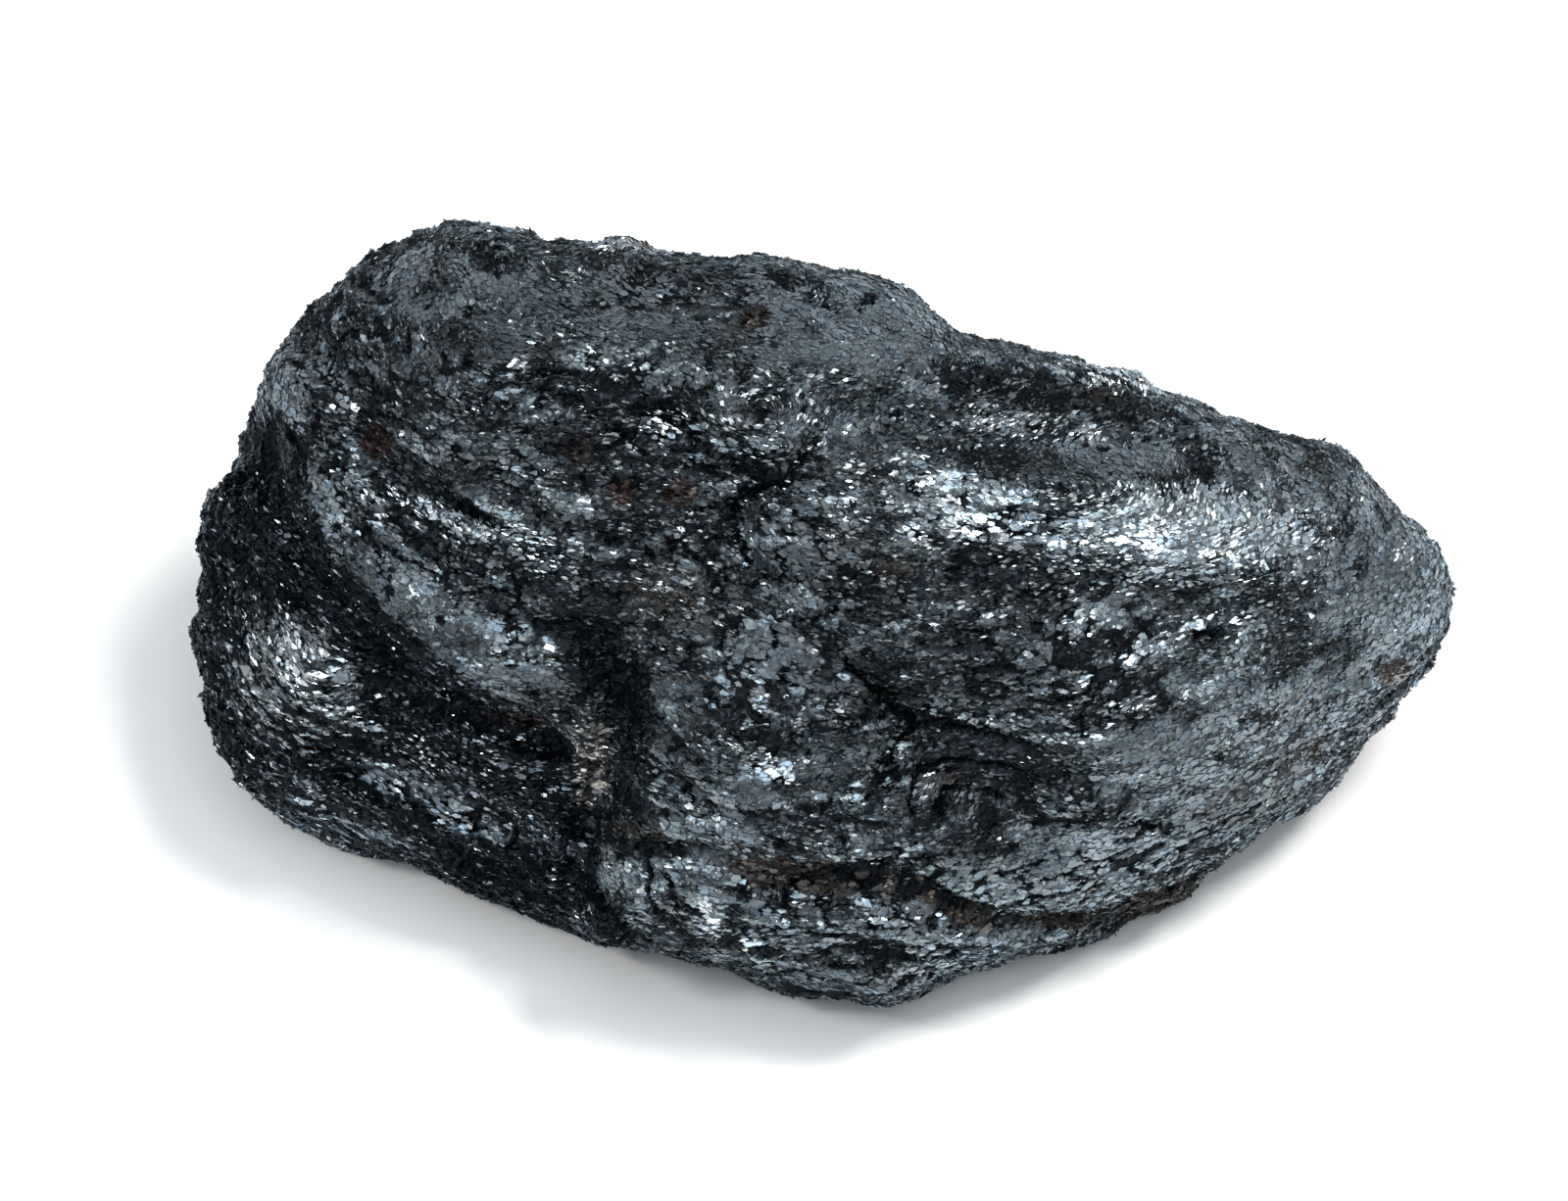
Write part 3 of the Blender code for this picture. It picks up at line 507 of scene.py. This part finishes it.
def coordinates(mesh):
    return got(mesh.vertices, "co", 3) / MM


def vertex_normals(mesh):
    return got(mesh.vertex_normals, "vector", 3)


def triangles(mesh):
    mesh.calc_loop_triangles()
    return got(mesh.loop_triangles, "vertices", 3, np.int32)


def packed(values):
    return values.astype(np.float32).ravel()


def set_points(mesh, points):
    mesh.vertices.foreach_set("co", packed(points * MM))


def add_map(mesh, places):
    mesh.uv_layers.new(name=BAKE_MAP).data.foreach_set("uv", packed(places))


def within_box(points):
    """The points, kept inside the CAD box."""
    low, high = (np.array(corner) / MM for corner in CAD_BOX)
    return np.clip(points, low, high)


def add_values(mesh, name, values):
    mesh.attributes.new(name, "FLOAT", "POINT").data.foreach_set("value", packed(values))


def add_colours(mesh, name, colours):
    rgba = np.concatenate([colours, np.ones((len(colours), 1))], axis=1)
    mesh.color_attributes.new(name, "FLOAT_COLOR", "POINT").data.foreach_set("color", packed(rgba))


def mesh_of(name, points, faces):
    """A mesh of those points, and of arrays of faces with one number of corners each."""
    mesh = bpy.data.meshes.new(name)
    mesh.vertices.add(len(points))
    set_points(mesh, points)
    corners = np.concatenate([array.ravel() for array in faces])
    sizes = np.concatenate([np.full(len(array), array.shape[1]) for array in faces])
    mesh.loops.add(len(corners))
    mesh.loops.foreach_set("vertex_index", corners.astype(np.int32))
    mesh.polygons.add(len(sizes))
    starts = np.concatenate([[0], np.cumsum(sizes)[:-1]])
    mesh.polygons.foreach_set("loop_start", starts.astype(np.int32))
    mesh.update(calc_edges=True)
    mesh.shade_flat()
    return mesh


def placed(name, data):
    thing = bpy.data.objects.new(name, data)
    bpy.context.scene.collection.objects.link(thing)
    return thing


# ---- the ground
class Ground:
    """What the surface is like at each of the points."""

    def __init__(self, points, plain):
        self.face = to_face(points)
        self.x, self.y = on_photo(self.face).T
        self.front = smoothstep(*FRONT_DEPTH, self.face[:, 2]) * smoothstep(*FRONT_SLANT, plain @ TOWARDS)
        self.across = layer(self.face)
        flat = self.laid_out(PATCH_RUN)
        self.wander, self.drift = waves(flat, *WANDER), waves(flat, *DRIFT)
        self.set_finish(flat)
        brown, glint = self.marks(BROWN, BROWN_STRAY), self.marks(GLINTS, GLINT_STRAY)
        self.brown = np.maximum(self.front * brown, self.behind(flat, BACK_BROWN))
        self.glint = np.maximum(self.front * glint, self.behind(flat, BACK_GLINTS))
        self.buff = self.front * self.marks(PALE_STAINS, SPOT_STRAY)
        self.rusty = self.front * self.marks(RUSTY, SPOT_STRAY)
        self.clump = patchy(flat, *CLUMPS)
        # painted light and shade: a factor on the colours, raised by one list of ovals and lowered by the
        # other
        self.painted_shading = 1.0 + self.front * (self.marks(PAINTED_LIGHT, SHADE_STRAY) - self.marks(PAINTED_SHADE, SHADE_STRAY))
        self.opening, opened = self.openings()
        self.gap = np.maximum(self.gaps() * (1.0 - self.front * self.marks(EVEN, 0.0)), opened)

    def laid_out(self, run):
        """Coordinates in which the foliation is flat and drawn out, for patterns that follow it."""
        return np.stack([self.face[:, 0] / run, self.across, self.face[:, 2] / run], axis=1)

    def marks(self, listed, stray):
        """How strong the listed ovals are, when their edges stray by that share of the noises."""
        return ovals(listed, self.x + stray * self.wander, self.y + stray * self.drift)

    def behind(self, flat, patches):
        """Patches of chance on the sides that the photograph doesn't show."""
        return BACK_STRENGTH * (1.0 - self.front) * patchy(flat, *patches)

    def set_finish(self, flat):
        """Sets the tone, how smooth the ground is, and where the lobe and its boss lie."""
        pale, boss = self.marks(PALE, 1.0), self.marks(BOSS, 1.0)
        # dark grains, and painted shade where these ovals lie over shadowed hollows
        dark = ovals(DARK_GRAINS_AND_PAINTED_SHADE, self.x + self.drift, self.y + self.wander)
        edge, share = near_line(HEM_EDGE, self.x, self.y)
        hem = np.exp(-((edge * MM_A_PIXEL / HEM_EDGE_WIDTH) ** 2)) * (share < HEM_PALE_SHARE)
        stray = self.wander * np.where(share > LOBE_BELOW, *LOBE_STRAY)
        lobe = smoothstep(*LOBE_BORDER, edge + stray) * (1.0 - boss) * (1.0 - LOBE_UNDER_PALE * pale)
        shown = PALE_TONE * pale + DARK_TONE * dark + HEM_TONE * hem + LOBE_TONE * lobe + BOSS_TONE * boss
        tone = MIDDLE_TONE + (1.0 - self.front) * waves(flat, *BACK_TONE) + self.front * shown
        self.tone = np.clip(tone + sum(waves(flat, *noise) for noise in PATCHES), 0.0, 1.0)
        self.smooth = smoothstep(*SMOOTH_TONE, self.tone)
        self.lobe = self.front * lobe
        self.boss = self.front * boss

    def gaps(self):
        """How far each point lies in a gap between flakes, from 0 to 1."""
        flat = self.laid_out(GAP_RUN)
        deepest = np.zeros(len(self.face))
        black, gone = GAP_EDGE
        for spacing, width, seed in GAPS:
            value = np.abs(rough(flat, spacing, seed))
            deepest = np.maximum(deepest, 1.0 - smoothstep(black * width, gone * width, value))
        deepest *= patchy(flat, *GAP_PATCHES)
        pocks = patchy(self.laid_out(POCK_RUN), *POCKS)
        return np.maximum(deepest, POCK_BLACKNESS * pocks)

    def openings(self):
        """How deep the cracks and pits of the face are, and how dark they make it, from 0 to 1."""
        depths = mounds(PITS, self.x, self.y) - mounds(KNOBS, self.x, self.y)
        darkness = ovals(PITS, self.x, self.y)
        for points, depth, width, dark in CRACKS:
            away, share = near_line(points, self.x, self.y)
            taper = np.clip(np.sin(math.pi * share) * CRACK_RISE, CRACK_TAPER, 1.0)
            near = np.exp(-((away * MM_A_PIXEL / width) ** 2)) * taper
            depths += depth * near
            darkness = np.maximum(darkness, dark * near)
        return depths * self.front, darkness * self.front


# ---- the rock
def ledges(ground):
    """Layers that rise slowly and break off, one over the other."""
    total = np.zeros(len(ground.face))
    flat = ground.laid_out(LEDGE_RUN)
    sway_spacing, sway = LEDGE_SWAY
    patch_spacing, start, full = LEDGE_PATCHES
    for spacing, height, sway_seed, patch_seed in LEDGES:
        place = ground.across / spacing + waves(flat, sway_spacing * spacing, sway, sway_seed)
        part = place - np.floor(place)
        step = smoothstep(0.0, LEDGE_BREAK, part) - smoothstep(LEDGE_BREAK, 1.0, part)
        total += height * (step - 0.5) * patchy(flat, patch_spacing * spacing, start, full, patch_seed)
    return total


def ripples(ground):
    flat = ground.laid_out(RIPPLE_RUN)
    return sum(waves(flat, *noise) for noise in RIPPLES)


def skin_mesh():
    """The CAD solid's shape as an even, fine mesh with its facets smoothed away."""
    coarse = placed("coarse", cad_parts[NODE].data.copy())
    even = coarse.modifiers.new("Even", "REMESH")
    even.mode = "VOXEL"
    even.voxel_size = VOXEL * MM
    soft = coarse.modifiers.new("Soft", "SMOOTH")
    soft.iterations = SMOOTHINGS
    graph = bpy.context.evaluated_depsgraph_get()
    mesh = bpy.data.meshes.new_from_object(coarse.evaluated_get(graph))
    bpy.data.objects.remove(coarse)
    return mesh


def make_skin():
    """The rock's skin, with its points, its plain form's normals and its ground."""
    mesh = skin_mesh()
    points = coordinates(mesh)
    plain = vertex_normals(mesh)
    rng = np.random.default_rng(SEED)
    ground = Ground(points, plain)
    loose = rng.normal(0.0, JITTER, points.shape)
    loose -= (loose * plain).sum(axis=1, keepdims=True) * plain
    relief = (ledges(ground) + ripples(ground)) * (1.0 - SMOOTHED * ground.tone)
    grit = waves(points, *GRIT) * (GRIT_BOUND - ground.tone)
    relief = relief + grit - ground.opening - GAP_DEPTH * ground.gap
    slant, height = UNDERSIDE
    resting = (plain[:, 2] < slant) & (points[:, 2] < height)
    raised = smoothstep(*BASE_FADE, points[:, 2])
    moved = points + loose + plain * ((relief - INSET) * raised)[:, None]
    moved[resting] = points[resting]
    moved[resting, 2] = 0.0
    moved = within_box(moved)
    set_points(mesh, moved)
    mesh.update()
    mesh.name = "hematite_rock"
    return mesh, moved, plain, ground


def rock_map(mesh, plain):
    """Gives the rock a UV map for baking its colours: six sides, each flat in its own cell."""
    corner = got(mesh.loops, "vertex_index", 1, np.int32)
    start = got(mesh.polygons, "loop_start", 1, np.int32)
    size = got(mesh.polygons, "loop_total", 1, np.int32)
    facing = np.add.reduceat(plain[corner], start)
    axis = np.argmax(np.abs(facing), axis=1)
    side = axis + 3 * (facing[np.arange(len(start)), axis] < 0.0)
    side, axis = np.repeat(side, size), np.repeat(axis, size)
    low, high = (np.array(bound) / MM for bound in CAD_BOX)
    place = (coordinates(mesh)[corner] - low) / (high - low).max()
    row = np.arange(len(corner))
    flat = np.stack([place[row, (axis + 1) % 3], place[row, (axis + 2) % 3]], axis=1)
    cell = np.stack([side % 3, side // 3], axis=1)
    flat = (cell + CELL_MARGIN + (1.0 - 2.0 * CELL_MARGIN) * flat) / np.array([3.0, 2.0])
    add_map(mesh, flat)


def rock_piece(mesh, plain, ground):
    add_values(mesh, "tone", ground.tone)
    add_values(mesh, "brown", ground.brown)
    # the gap values here also carry the lobe's painted shade
    add_values(mesh, "gap", np.maximum(ground.gap, ROCK_LOBE_PAINTED_SHADE * ground.lobe))
    rock_map(mesh, plain)
    mesh.materials.clear()
    mesh.materials.append(ore_material("hematite_ground", ROCK, rock_colour))
    mesh.shade_flat()
    rock = placed("hematite_rock", mesh)
    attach(rock, "root")
    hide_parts(NODE)


# ---- scales and grains
class Spots:
    """Places strewn over the skin, with the ground's values there."""

    def __init__(self, rng, count, weight, corners, points, plain, fine, run):
        first, second, third = (points[corners[:, k]] for k in range(3))
        area = np.linalg.norm(np.cross(second - first, third - first), axis=1) / 2.0
        chance = area * weight[corners].mean(axis=1)
        chance[(points[corners, 2] < BARE_BELOW).any(axis=1)] = 0.0
        chosen = corners[rng.choice(len(corners), count, p=chance / chance.sum())]
        a, b = rng.random(count), rng.random(count)
        over = a + b > 1.0
        a, b = np.where(over, 1.0 - a, a), np.where(over, 1.0 - b, b)
        shares = np.stack([1.0 - a - b, a, b], axis=1)

        def at(values):
            return np.einsum("ij,ij...->i...", shares, values[chosen])

        self.place = at(points)
        self.plain = unit(at(plain))
        self.fine = unit(at(fine))
        self.run = at(run)
        self.ground = Ground(self.place, self.plain)
        self.count = count


def foliation_run(plain, ground):
    """The direction in which the layers run along the surface, at each point of the skin."""
    reach = 0.3
    slopes = [(layer(ground.face + reach * step) - ground.across) / reach for step in np.eye(3)]
    slope = slopes[0][:, None] * RIGHT + slopes[1][:, None] * UP + slopes[2][:, None] * TOWARDS
    return unit(np.cross(plain, slope))


def tilted(rng, normals, degrees):
    """Directions turned away from the normals by normally spread angles."""
    spread = np.radians(degrees)
    return unit(normals + rng.normal(0.0, 1.0, normals.shape) * np.tan(spread)[:, None] * TILT_SPREAD)


def half_way_to(light_from):
    """The way that a plate faces when it throws that light into the camera."""
    return unit(unit(light_from) + TOWARDS)


def by_chance(facing, between, ground):
    """How far each scale or grain outside the glitter happens to face a light, where the ground doesn't."""
    strays = np.zeros(len(facing))
    for light_from in (KEY_FROM, SIDE_FROM):
        half_way = half_way_to(light_from)
        own = smoothstep(*LIT_FACING, facing @ half_way)
        strays = np.maximum(strays, own * (1.0 - smoothstep(*LIT_GROUND, between @ half_way)))
    return strays * (1.0 - ground.glint)


def stood(rng, spots, tilts):
    """The way that each scale or grain faces, whether it is lit on purpose, and how far it is by chance."""
    ground, count = spots.ground, spots.count
    from_side = (rng.random(count) < ground.lobe + BOSS_FROM_SIDE * ground.boss)[:, None]
    half_way = np.where(from_side, half_way_to(SIDE_FROM), half_way_to(KEY_FROM))
    share, more = PLAIN_SHARE
    as_plain = (share + more * ground.smooth)[:, None]
    as_fine = (1.0 - share - more * ground.smooth)[:, None]
    between = unit(spots.plain * as_plain + spots.fine * as_fine)
    between = unit(between + SHEEN * ground.glint[:, None] * half_way)
    rough_tilt, smooth_tilt = tilts
    facing = tilted(rng, between, rough_tilt + (smooth_tilt - rough_tilt) * ground.smooth)
    alone, in_clump = CLUMPING
    clumped = GLINT_SHARE * (alone + in_clump * ground.clump) * ground.glint
    clumped *= 1.0 + BOSS_GLITTER * ground.boss
    chance = SPARKLE_SHARE + LOBE_SPARKLE * ground.lobe * ground.clump + clumped
    lit = rng.random(count) < chance * (1.0 - ground.gap) * (1.0 - ground.rusty)
    to_light = tilted(rng, half_way, np.full(count, GLINT_TILT))
    lit &= (to_light * spots.plain).sum(axis=1) > LIT_SLANT
    return np.where(lit[:, None], to_light, facing), lit, by_chance(facing, between, ground)


def coloured(rng, spots, lit, stray):
    ground, count = spots.ground, spots.count
    flat = ground.laid_out(COLOUR_RUN)
    smooth = smoothstep(*STEEL_TONE, ground.tone + rng.normal(0.0, TONE_STRAY, count))[:, None]
    on_rough, on_smooth, on_lobe = UNEVENNESS
    spread = on_rough + on_smooth * smooth + on_lobe * ground.lobe[:, None]
    uneven = np.exp(rng.normal(0.0, 1.0, (count, 1)) * spread)
    drift = 1.0 + waves(flat, *COLOUR_DRIFT)[:, None]
    colour = (GRANULAR * (1.0 - smooth) + STEEL * smooth) * uneven * drift
    low = smoothstep(*DEEP_TONE, ground.tone + rng.normal(0.0, TONE_STRAY, count))[:, None]
    colour = colour * (1.0 - DEEP_SHARE * low) + DEEP * DEEP_SHARE * low
    # painted shade on the lobe under the hem
    colour = colour * (1.0 - ground.lobe[:, None] * LOBE_PAINTED_SHADE)
    for stain, pigment in ((ground.brown, TAN), (ground.rusty, RUST), (ground.buff, BUFF)):
        there = stain + rng.normal(0.0, STAIN_STRAY, count)
        share = STAIN_SHARE * smoothstep(*STAIN_EDGE, there)[:, None]
        colour = colour * (1.0 - share) + pigment * np.sqrt(uneven) * share
    # painted light and shade from the ovals, and painted sheen among the glints
    painted_light_and_shade = ground.painted_shading * (1.0 + GLINT_PAINTED_SHEEN * ground.glint)
    # painted shade on those that face a light by chance
    colour = colour * (painted_light_and_shade * (1.0 - STRAY_PAINTED_SHADE * stray))[:, None]
    colour = colour * (1.0 + rng.normal(0.0, WARMTH, (count, 1)) * WARM_SHIFT)
    gap = GAP_BLACKNESS * smoothstep(*GAP_SHOWS, ground.gap)[:, None]
    colour = colour * (1.0 - gap) + BLACK * gap
    shine = np.clip(np.exp(rng.normal(*SHINE, (count, 1))), *SHINE_LIMITS)
    colour = np.where(lit[:, None], BRIGHT * shine, colour)
    return np.clip(colour, *COLOUR_LIMITS)


def stride(kind):
    """How many points a plate has: its corners, the top of its dome, if any, and its root."""
    return kind.sides + (2 if kind.dome else 1)


def plates(rng, spots, kind, half_length, half_width, rise, facing):
    """Closed plates: a many-sided top, with a middle point if it is domed, and a root in the rock."""
    along = unit(spots.run - (spots.run * facing).sum(axis=1, keepdims=True) * facing)
    across = np.cross(facing, along)
    shape = spots.count, kind.sides
    stray = rng.uniform(-CORNER_STRAY, CORNER_STRAY, shape)
    angles = 2.0 * math.pi * (np.arange(kind.sides) + stray) / kind.sides
    reach = np.clip(rng.normal(1.0, REACH_SPREAD, shape), *REACH_LIMITS)
    out = (half_length[:, None] * reach * np.cos(angles))[..., None] * along[:, None]
    out += (half_width[:, None] * reach * np.sin(angles))[..., None] * across[:, None]
    middle = spots.place + facing * rise[:, None]
    corners = [middle[:, None] + out]
    if kind.dome:
        corners.append((middle + facing * kind.dome)[:, None])
    corners.append((spots.place - spots.plain * ROOT)[:, None])
    return np.concatenate(corners, axis=1)


def plate_faces(count, kind):
    """The faces of all plates: the top, then the sides down to the root."""
    base = np.arange(count)[:, None, None] * stride(kind)
    k = np.arange(kind.sides)
    following = (k + 1) % kind.sides
    flank = np.stack([following, k, np.full(kind.sides, stride(kind) - 1)], axis=1)
    flanks = (base + flank).reshape(-1, 3)
    if kind.dome:
        tops = (base + np.stack([k, following, np.full(kind.sides, kind.sides)], axis=1)).reshape(-1, 3)
    else:
        tops = (base[:, 0] + k).reshape(-1, kind.sides)
    return [tops, flanks]


def bake_map(mesh, count, kind):
    """Gives every plate a cell of its own on a UV map for baking its colours."""
    cells = math.ceil(math.sqrt(count))
    number = np.arange(count)
    middle = np.stack([number % cells, number // cells], axis=1) + 0.5
    angles = 2.0 * math.pi * np.arange(kind.sides) / kind.sides
    ring = CELL_RADIUS * np.stack([np.cos(angles), np.sin(angles)], axis=1)
    own = np.concatenate([ring, np.zeros((stride(kind) - kind.sides, 2))])
    places = ((middle[:, None] + own) / cells).reshape(-1, 2)
    add_map(mesh, places[got(mesh.loops, "vertex_index", 1, np.int32)])


def plate_piece(name, shape, colours, kind, material, rng):
    count = len(shape)
    mesh = mesh_of(name, within_box(shape.reshape(-1, 3)), plate_faces(count, kind))
    add_colours(mesh, "mineral", np.repeat(colours, stride(kind), axis=0))
    rim = np.zeros((count, stride(kind)))
    rim[:, :kind.sides] = rng.uniform(*RIM_SPREAD, (count, kind.sides))
    add_values(mesh, "rim", rim)
    bake_map(mesh, count, kind)
    mesh.materials.append(material)
    piece = placed(name, mesh)
    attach(piece, "root")


def strew(kind, rng, ground, skin):
    """All plates of one kind, as a few joined meshes."""
    material = ore_material(f"hematite_{kind.name}", PLATE, scale_colour if kind.outlined else grain_colour)
    on_rough, on_smooth = kind.density
    weight = on_rough + (on_smooth - on_rough) * smoothstep(*kind.density_tone, ground.tone)
    weight = (BACK_DENSITY + FRONT_DENSITY * ground.front) * weight
    count = kind.count
    spots = Spots(rng, count, weight, *skin)
    ground = spots.ground
    facing, lit, stray = stood(rng, spots, kind.tilt)
    small, large = kind.half_length
    half_length = (small + (large - small) * ground.smooth) * np.exp(rng.normal(0.0, SIZE_SPREAD, count))
    half_length *= (1.0 - GAP_SHRINKING * ground.gap) * (1.0 + BOSS_GROWTH * ground.boss)
    glinting = np.minimum(half_length * rng.uniform(*GLINT_SIZE, count), GLINT_HALF_LENGTH)
    half_length = np.where(lit, glinting * (1.0 + BOSS_GLINT_GROWTH * ground.boss), half_length)
    half_width = half_length * kind.half_width * np.exp(rng.normal(0.0, WIDTH_SPREAD, count))
    half_width *= np.where(lit, GLINT_HALF_WIDTH, 1.0)
    rises = kind.rise * rng.uniform(*RISE_SPREAD, count) - GAP_DROP * ground.gap
    shape = plates(rng, spots, kind, half_length, half_width, rises, facing)
    colours = coloured(rng, spots, lit, stray)
    for number, chosen in enumerate(np.array_split(np.arange(count), kind.pieces), start=1):
        plate_piece(f"{kind.name}_{number}", shape[chosen], colours[chosen], kind, material, rng)


# ---- materials
def new_material(name, metallic):
    material = bpy.data.materials.new(name)
    material.use_nodes = True
    shader = material.node_tree.nodes["Principled BSDF"]
    shader.inputs["Metallic"].default_value = metallic
    return material, material.node_tree, shader.inputs


def worked_out(tree, kind, operation, *values):
    """What a node makes of values, each given as it is or as a socket."""
    node = tree.nodes.new(kind)
    node.operation = operation
    for socket, value in zip(node.inputs, values):
        if isinstance(value, bpy.types.NodeSocket):
            tree.links.new(value, socket)
        else:
            socket.default_value = value
    return node.outputs[0]


def mapped(tree, value, low, high, to_low=0.0, to_high=1.0):
    node = tree.nodes.new("ShaderNodeMapRange")
    node.interpolation_type = "SMOOTHSTEP"
    tree.links.new(value, node.inputs["Value"])
    for name, number in (("From Min", low), ("From Max", high), ("To Min", to_low), ("To Max", to_high)):
        node.inputs[name].default_value = number
    return node.outputs["Result"]


def blended(tree, share, first, second):
    """One colour into another, each given as three numbers or as a socket."""
    node = tree.nodes.new("ShaderNodeMix")
    node.data_type = "RGBA"
    tree.links.new(share, node.inputs[0])
    for socket, colour in ((node.inputs[MIX_FIRST], first), (node.inputs[MIX_SECOND], second)):
        if isinstance(colour, bpy.types.NodeSocket):
            tree.links.new(colour, socket)
        else:
            socket.default_value = (*colour, 1.0)
    return node.outputs[MIX_RESULT]


def attribute(tree, name, output="Fac"):
    node = tree.nodes.new("ShaderNodeAttribute")
    node.attribute_name = name
    return node.outputs[output]


def ore_material(name, finish, colour):
    """Ore with that finish. Its colour is a function of the tree and of a chance value of each cell."""
    material, tree, inputs = new_material(name, finish.metallic)
    inputs["Specular Tint"].default_value = EDGE_TINT
    inputs["Specular IOR Level"].default_value = EDGE_SPECULAR
    place = tree.nodes.new("ShaderNodeTexCoord").outputs["Object"]
    cells = tree.nodes.new("ShaderNodeTexVoronoi")
    cells.inputs["Scale"].default_value = 1.0 / (finish.cell * MM)
    tree.links.new(worked_out(tree, VECTORS, "ADD", place, (finish.shift,) * 3), cells.inputs["Vector"])
    split = tree.nodes.new("ShaderNodeSeparateColor")
    tree.links.new(cells.outputs["Color"], split.inputs[0])
    tree.links.new(colour(tree, split.outputs[0]), inputs["Base Color"])
    gloss = mapped(tree, split.outputs[finish.channel], 0.0, 1.0, *finish.roughness)
    tree.links.new(gloss, inputs["Roughness"])
    turn = worked_out(tree, VECTORS, "SUBTRACT", cells.outputs["Color"], (0.5, 0.5, 0.5))
    turn = worked_out(tree, VECTORS, "MULTIPLY", turn, (finish.glitter,) * 3)
    normal = tree.nodes.new("ShaderNodeNewGeometry").outputs["Normal"]
    turned_normal = worked_out(tree, VECTORS, "ADD", normal, turn)
    tree.links.new(worked_out(tree, VECTORS, "NORMALIZE", turned_normal), inputs["Normal"])
    return material


def rock_colour(tree, own):
    """The ground between the scales: dark grains, each with a tone of its own."""
    own = worked_out(tree, NUMBERS, "MULTIPLY", own, ROCK_UNEVENNESS)
    tone = worked_out(tree, NUMBERS, "ADD", attribute(tree, "tone"), own)
    colour = blended(tree, mapped(tree, tone, *ROCK_TONE), DEEP, ROCK_STEEL)
    for name, shows, pigment in (("brown", ROCK_STAIN, ROCK_TAN), ("gap", ROCK_GAP, BLACK)):
        colour = blended(tree, mapped(tree, attribute(tree, name), *shows), colour, pigment)
    return colour


def grain_colour(tree, _):
    return attribute(tree, "mineral", "Color")


def scale_colour(tree, own):
    """A scale's own colour, with a dark outline."""
    return blended(tree, mapped(tree, attribute(tree, "rim"), *RIM), grain_colour(tree, own), BLACK)


# ---- the stage
def aimed(thing, position, target):
    turn = (Vector(target) - position).to_track_quat("-Z", "Y")
    thing.matrix_world = Matrix.Translation(position) @ turn.to_matrix().to_4x4()


def add_light(name, shape, direction, distance, size, watts, colour):
    light = bpy.data.lights.new(name, "AREA")
    light.shape = shape
    light.size, light.size_y = size
    light.energy = watts
    light.color = colour
    target = FACE_ORIGIN * MM
    aimed(placed(name, light), Vector(target + unit(direction) * distance), target)


def add_camera():
    camera = bpy.data.cameras.new("Camera")
    camera.lens = LENS
    camera.sensor_width = SENSOR
    camera.clip_start, camera.clip_end = CLIP
    eye = placed("Camera", camera)
    target = (FACE_ORIGIN + SIGHT_AXIS[0] * RIGHT + SIGHT_AXIS[1] * UP) * MM
    aimed(eye, Vector(target + TOWARDS * SIGHT_DISTANCE * MM), target)
    bpy.context.scene.camera = eye


def add_floor():
    half = FLOOR_SIDE / 2.0 / MM
    corners = np.array([(-half, -half, 0.0), (half, -half, 0.0), (half, half, 0.0), (-half, half, 0.0)])
    mesh = mesh_of("floor", corners, [np.array([[0, 1, 2, 3]])])
    material, _, inputs = new_material("floor_paper", 0.0)
    inputs["Roughness"].default_value = FLOOR_ROUGHNESS
    inputs["Base Color"].default_value = FLOOR_COLOUR
    inputs["Specular IOR Level"].default_value = FLOOR_SPECULAR
    mesh.materials.append(material)
    floor = placed("floor", mesh)


def add_world():
    world = bpy.data.worlds.new("World")
    world.use_nodes = True
    world.node_tree.nodes["Background"].inputs["Color"].default_value = WORLD_COLOUR
    bpy.context.scene.world = world


def set_stage():
    add_floor()
    add_world()
    for light in LIGHTS:
        add_light(*light)
    add_camera()
    bpy.context.scene.view_settings.view_transform = "Standard"


# ---- all together
def dress():
    mesh, points, plain, ground = make_skin()
    fine = vertex_normals(mesh)
    run = foliation_run(plain, ground)
    skin = (triangles(mesh), points, plain, fine, run)
    rock_piece(mesh, plain, ground)
    rng = np.random.default_rng(SEED + 1)
    strew(SCALES, rng, ground, skin)
    strew(GRAINS, rng, ground, skin)


def main():
    dress()
    set_stage()


main()
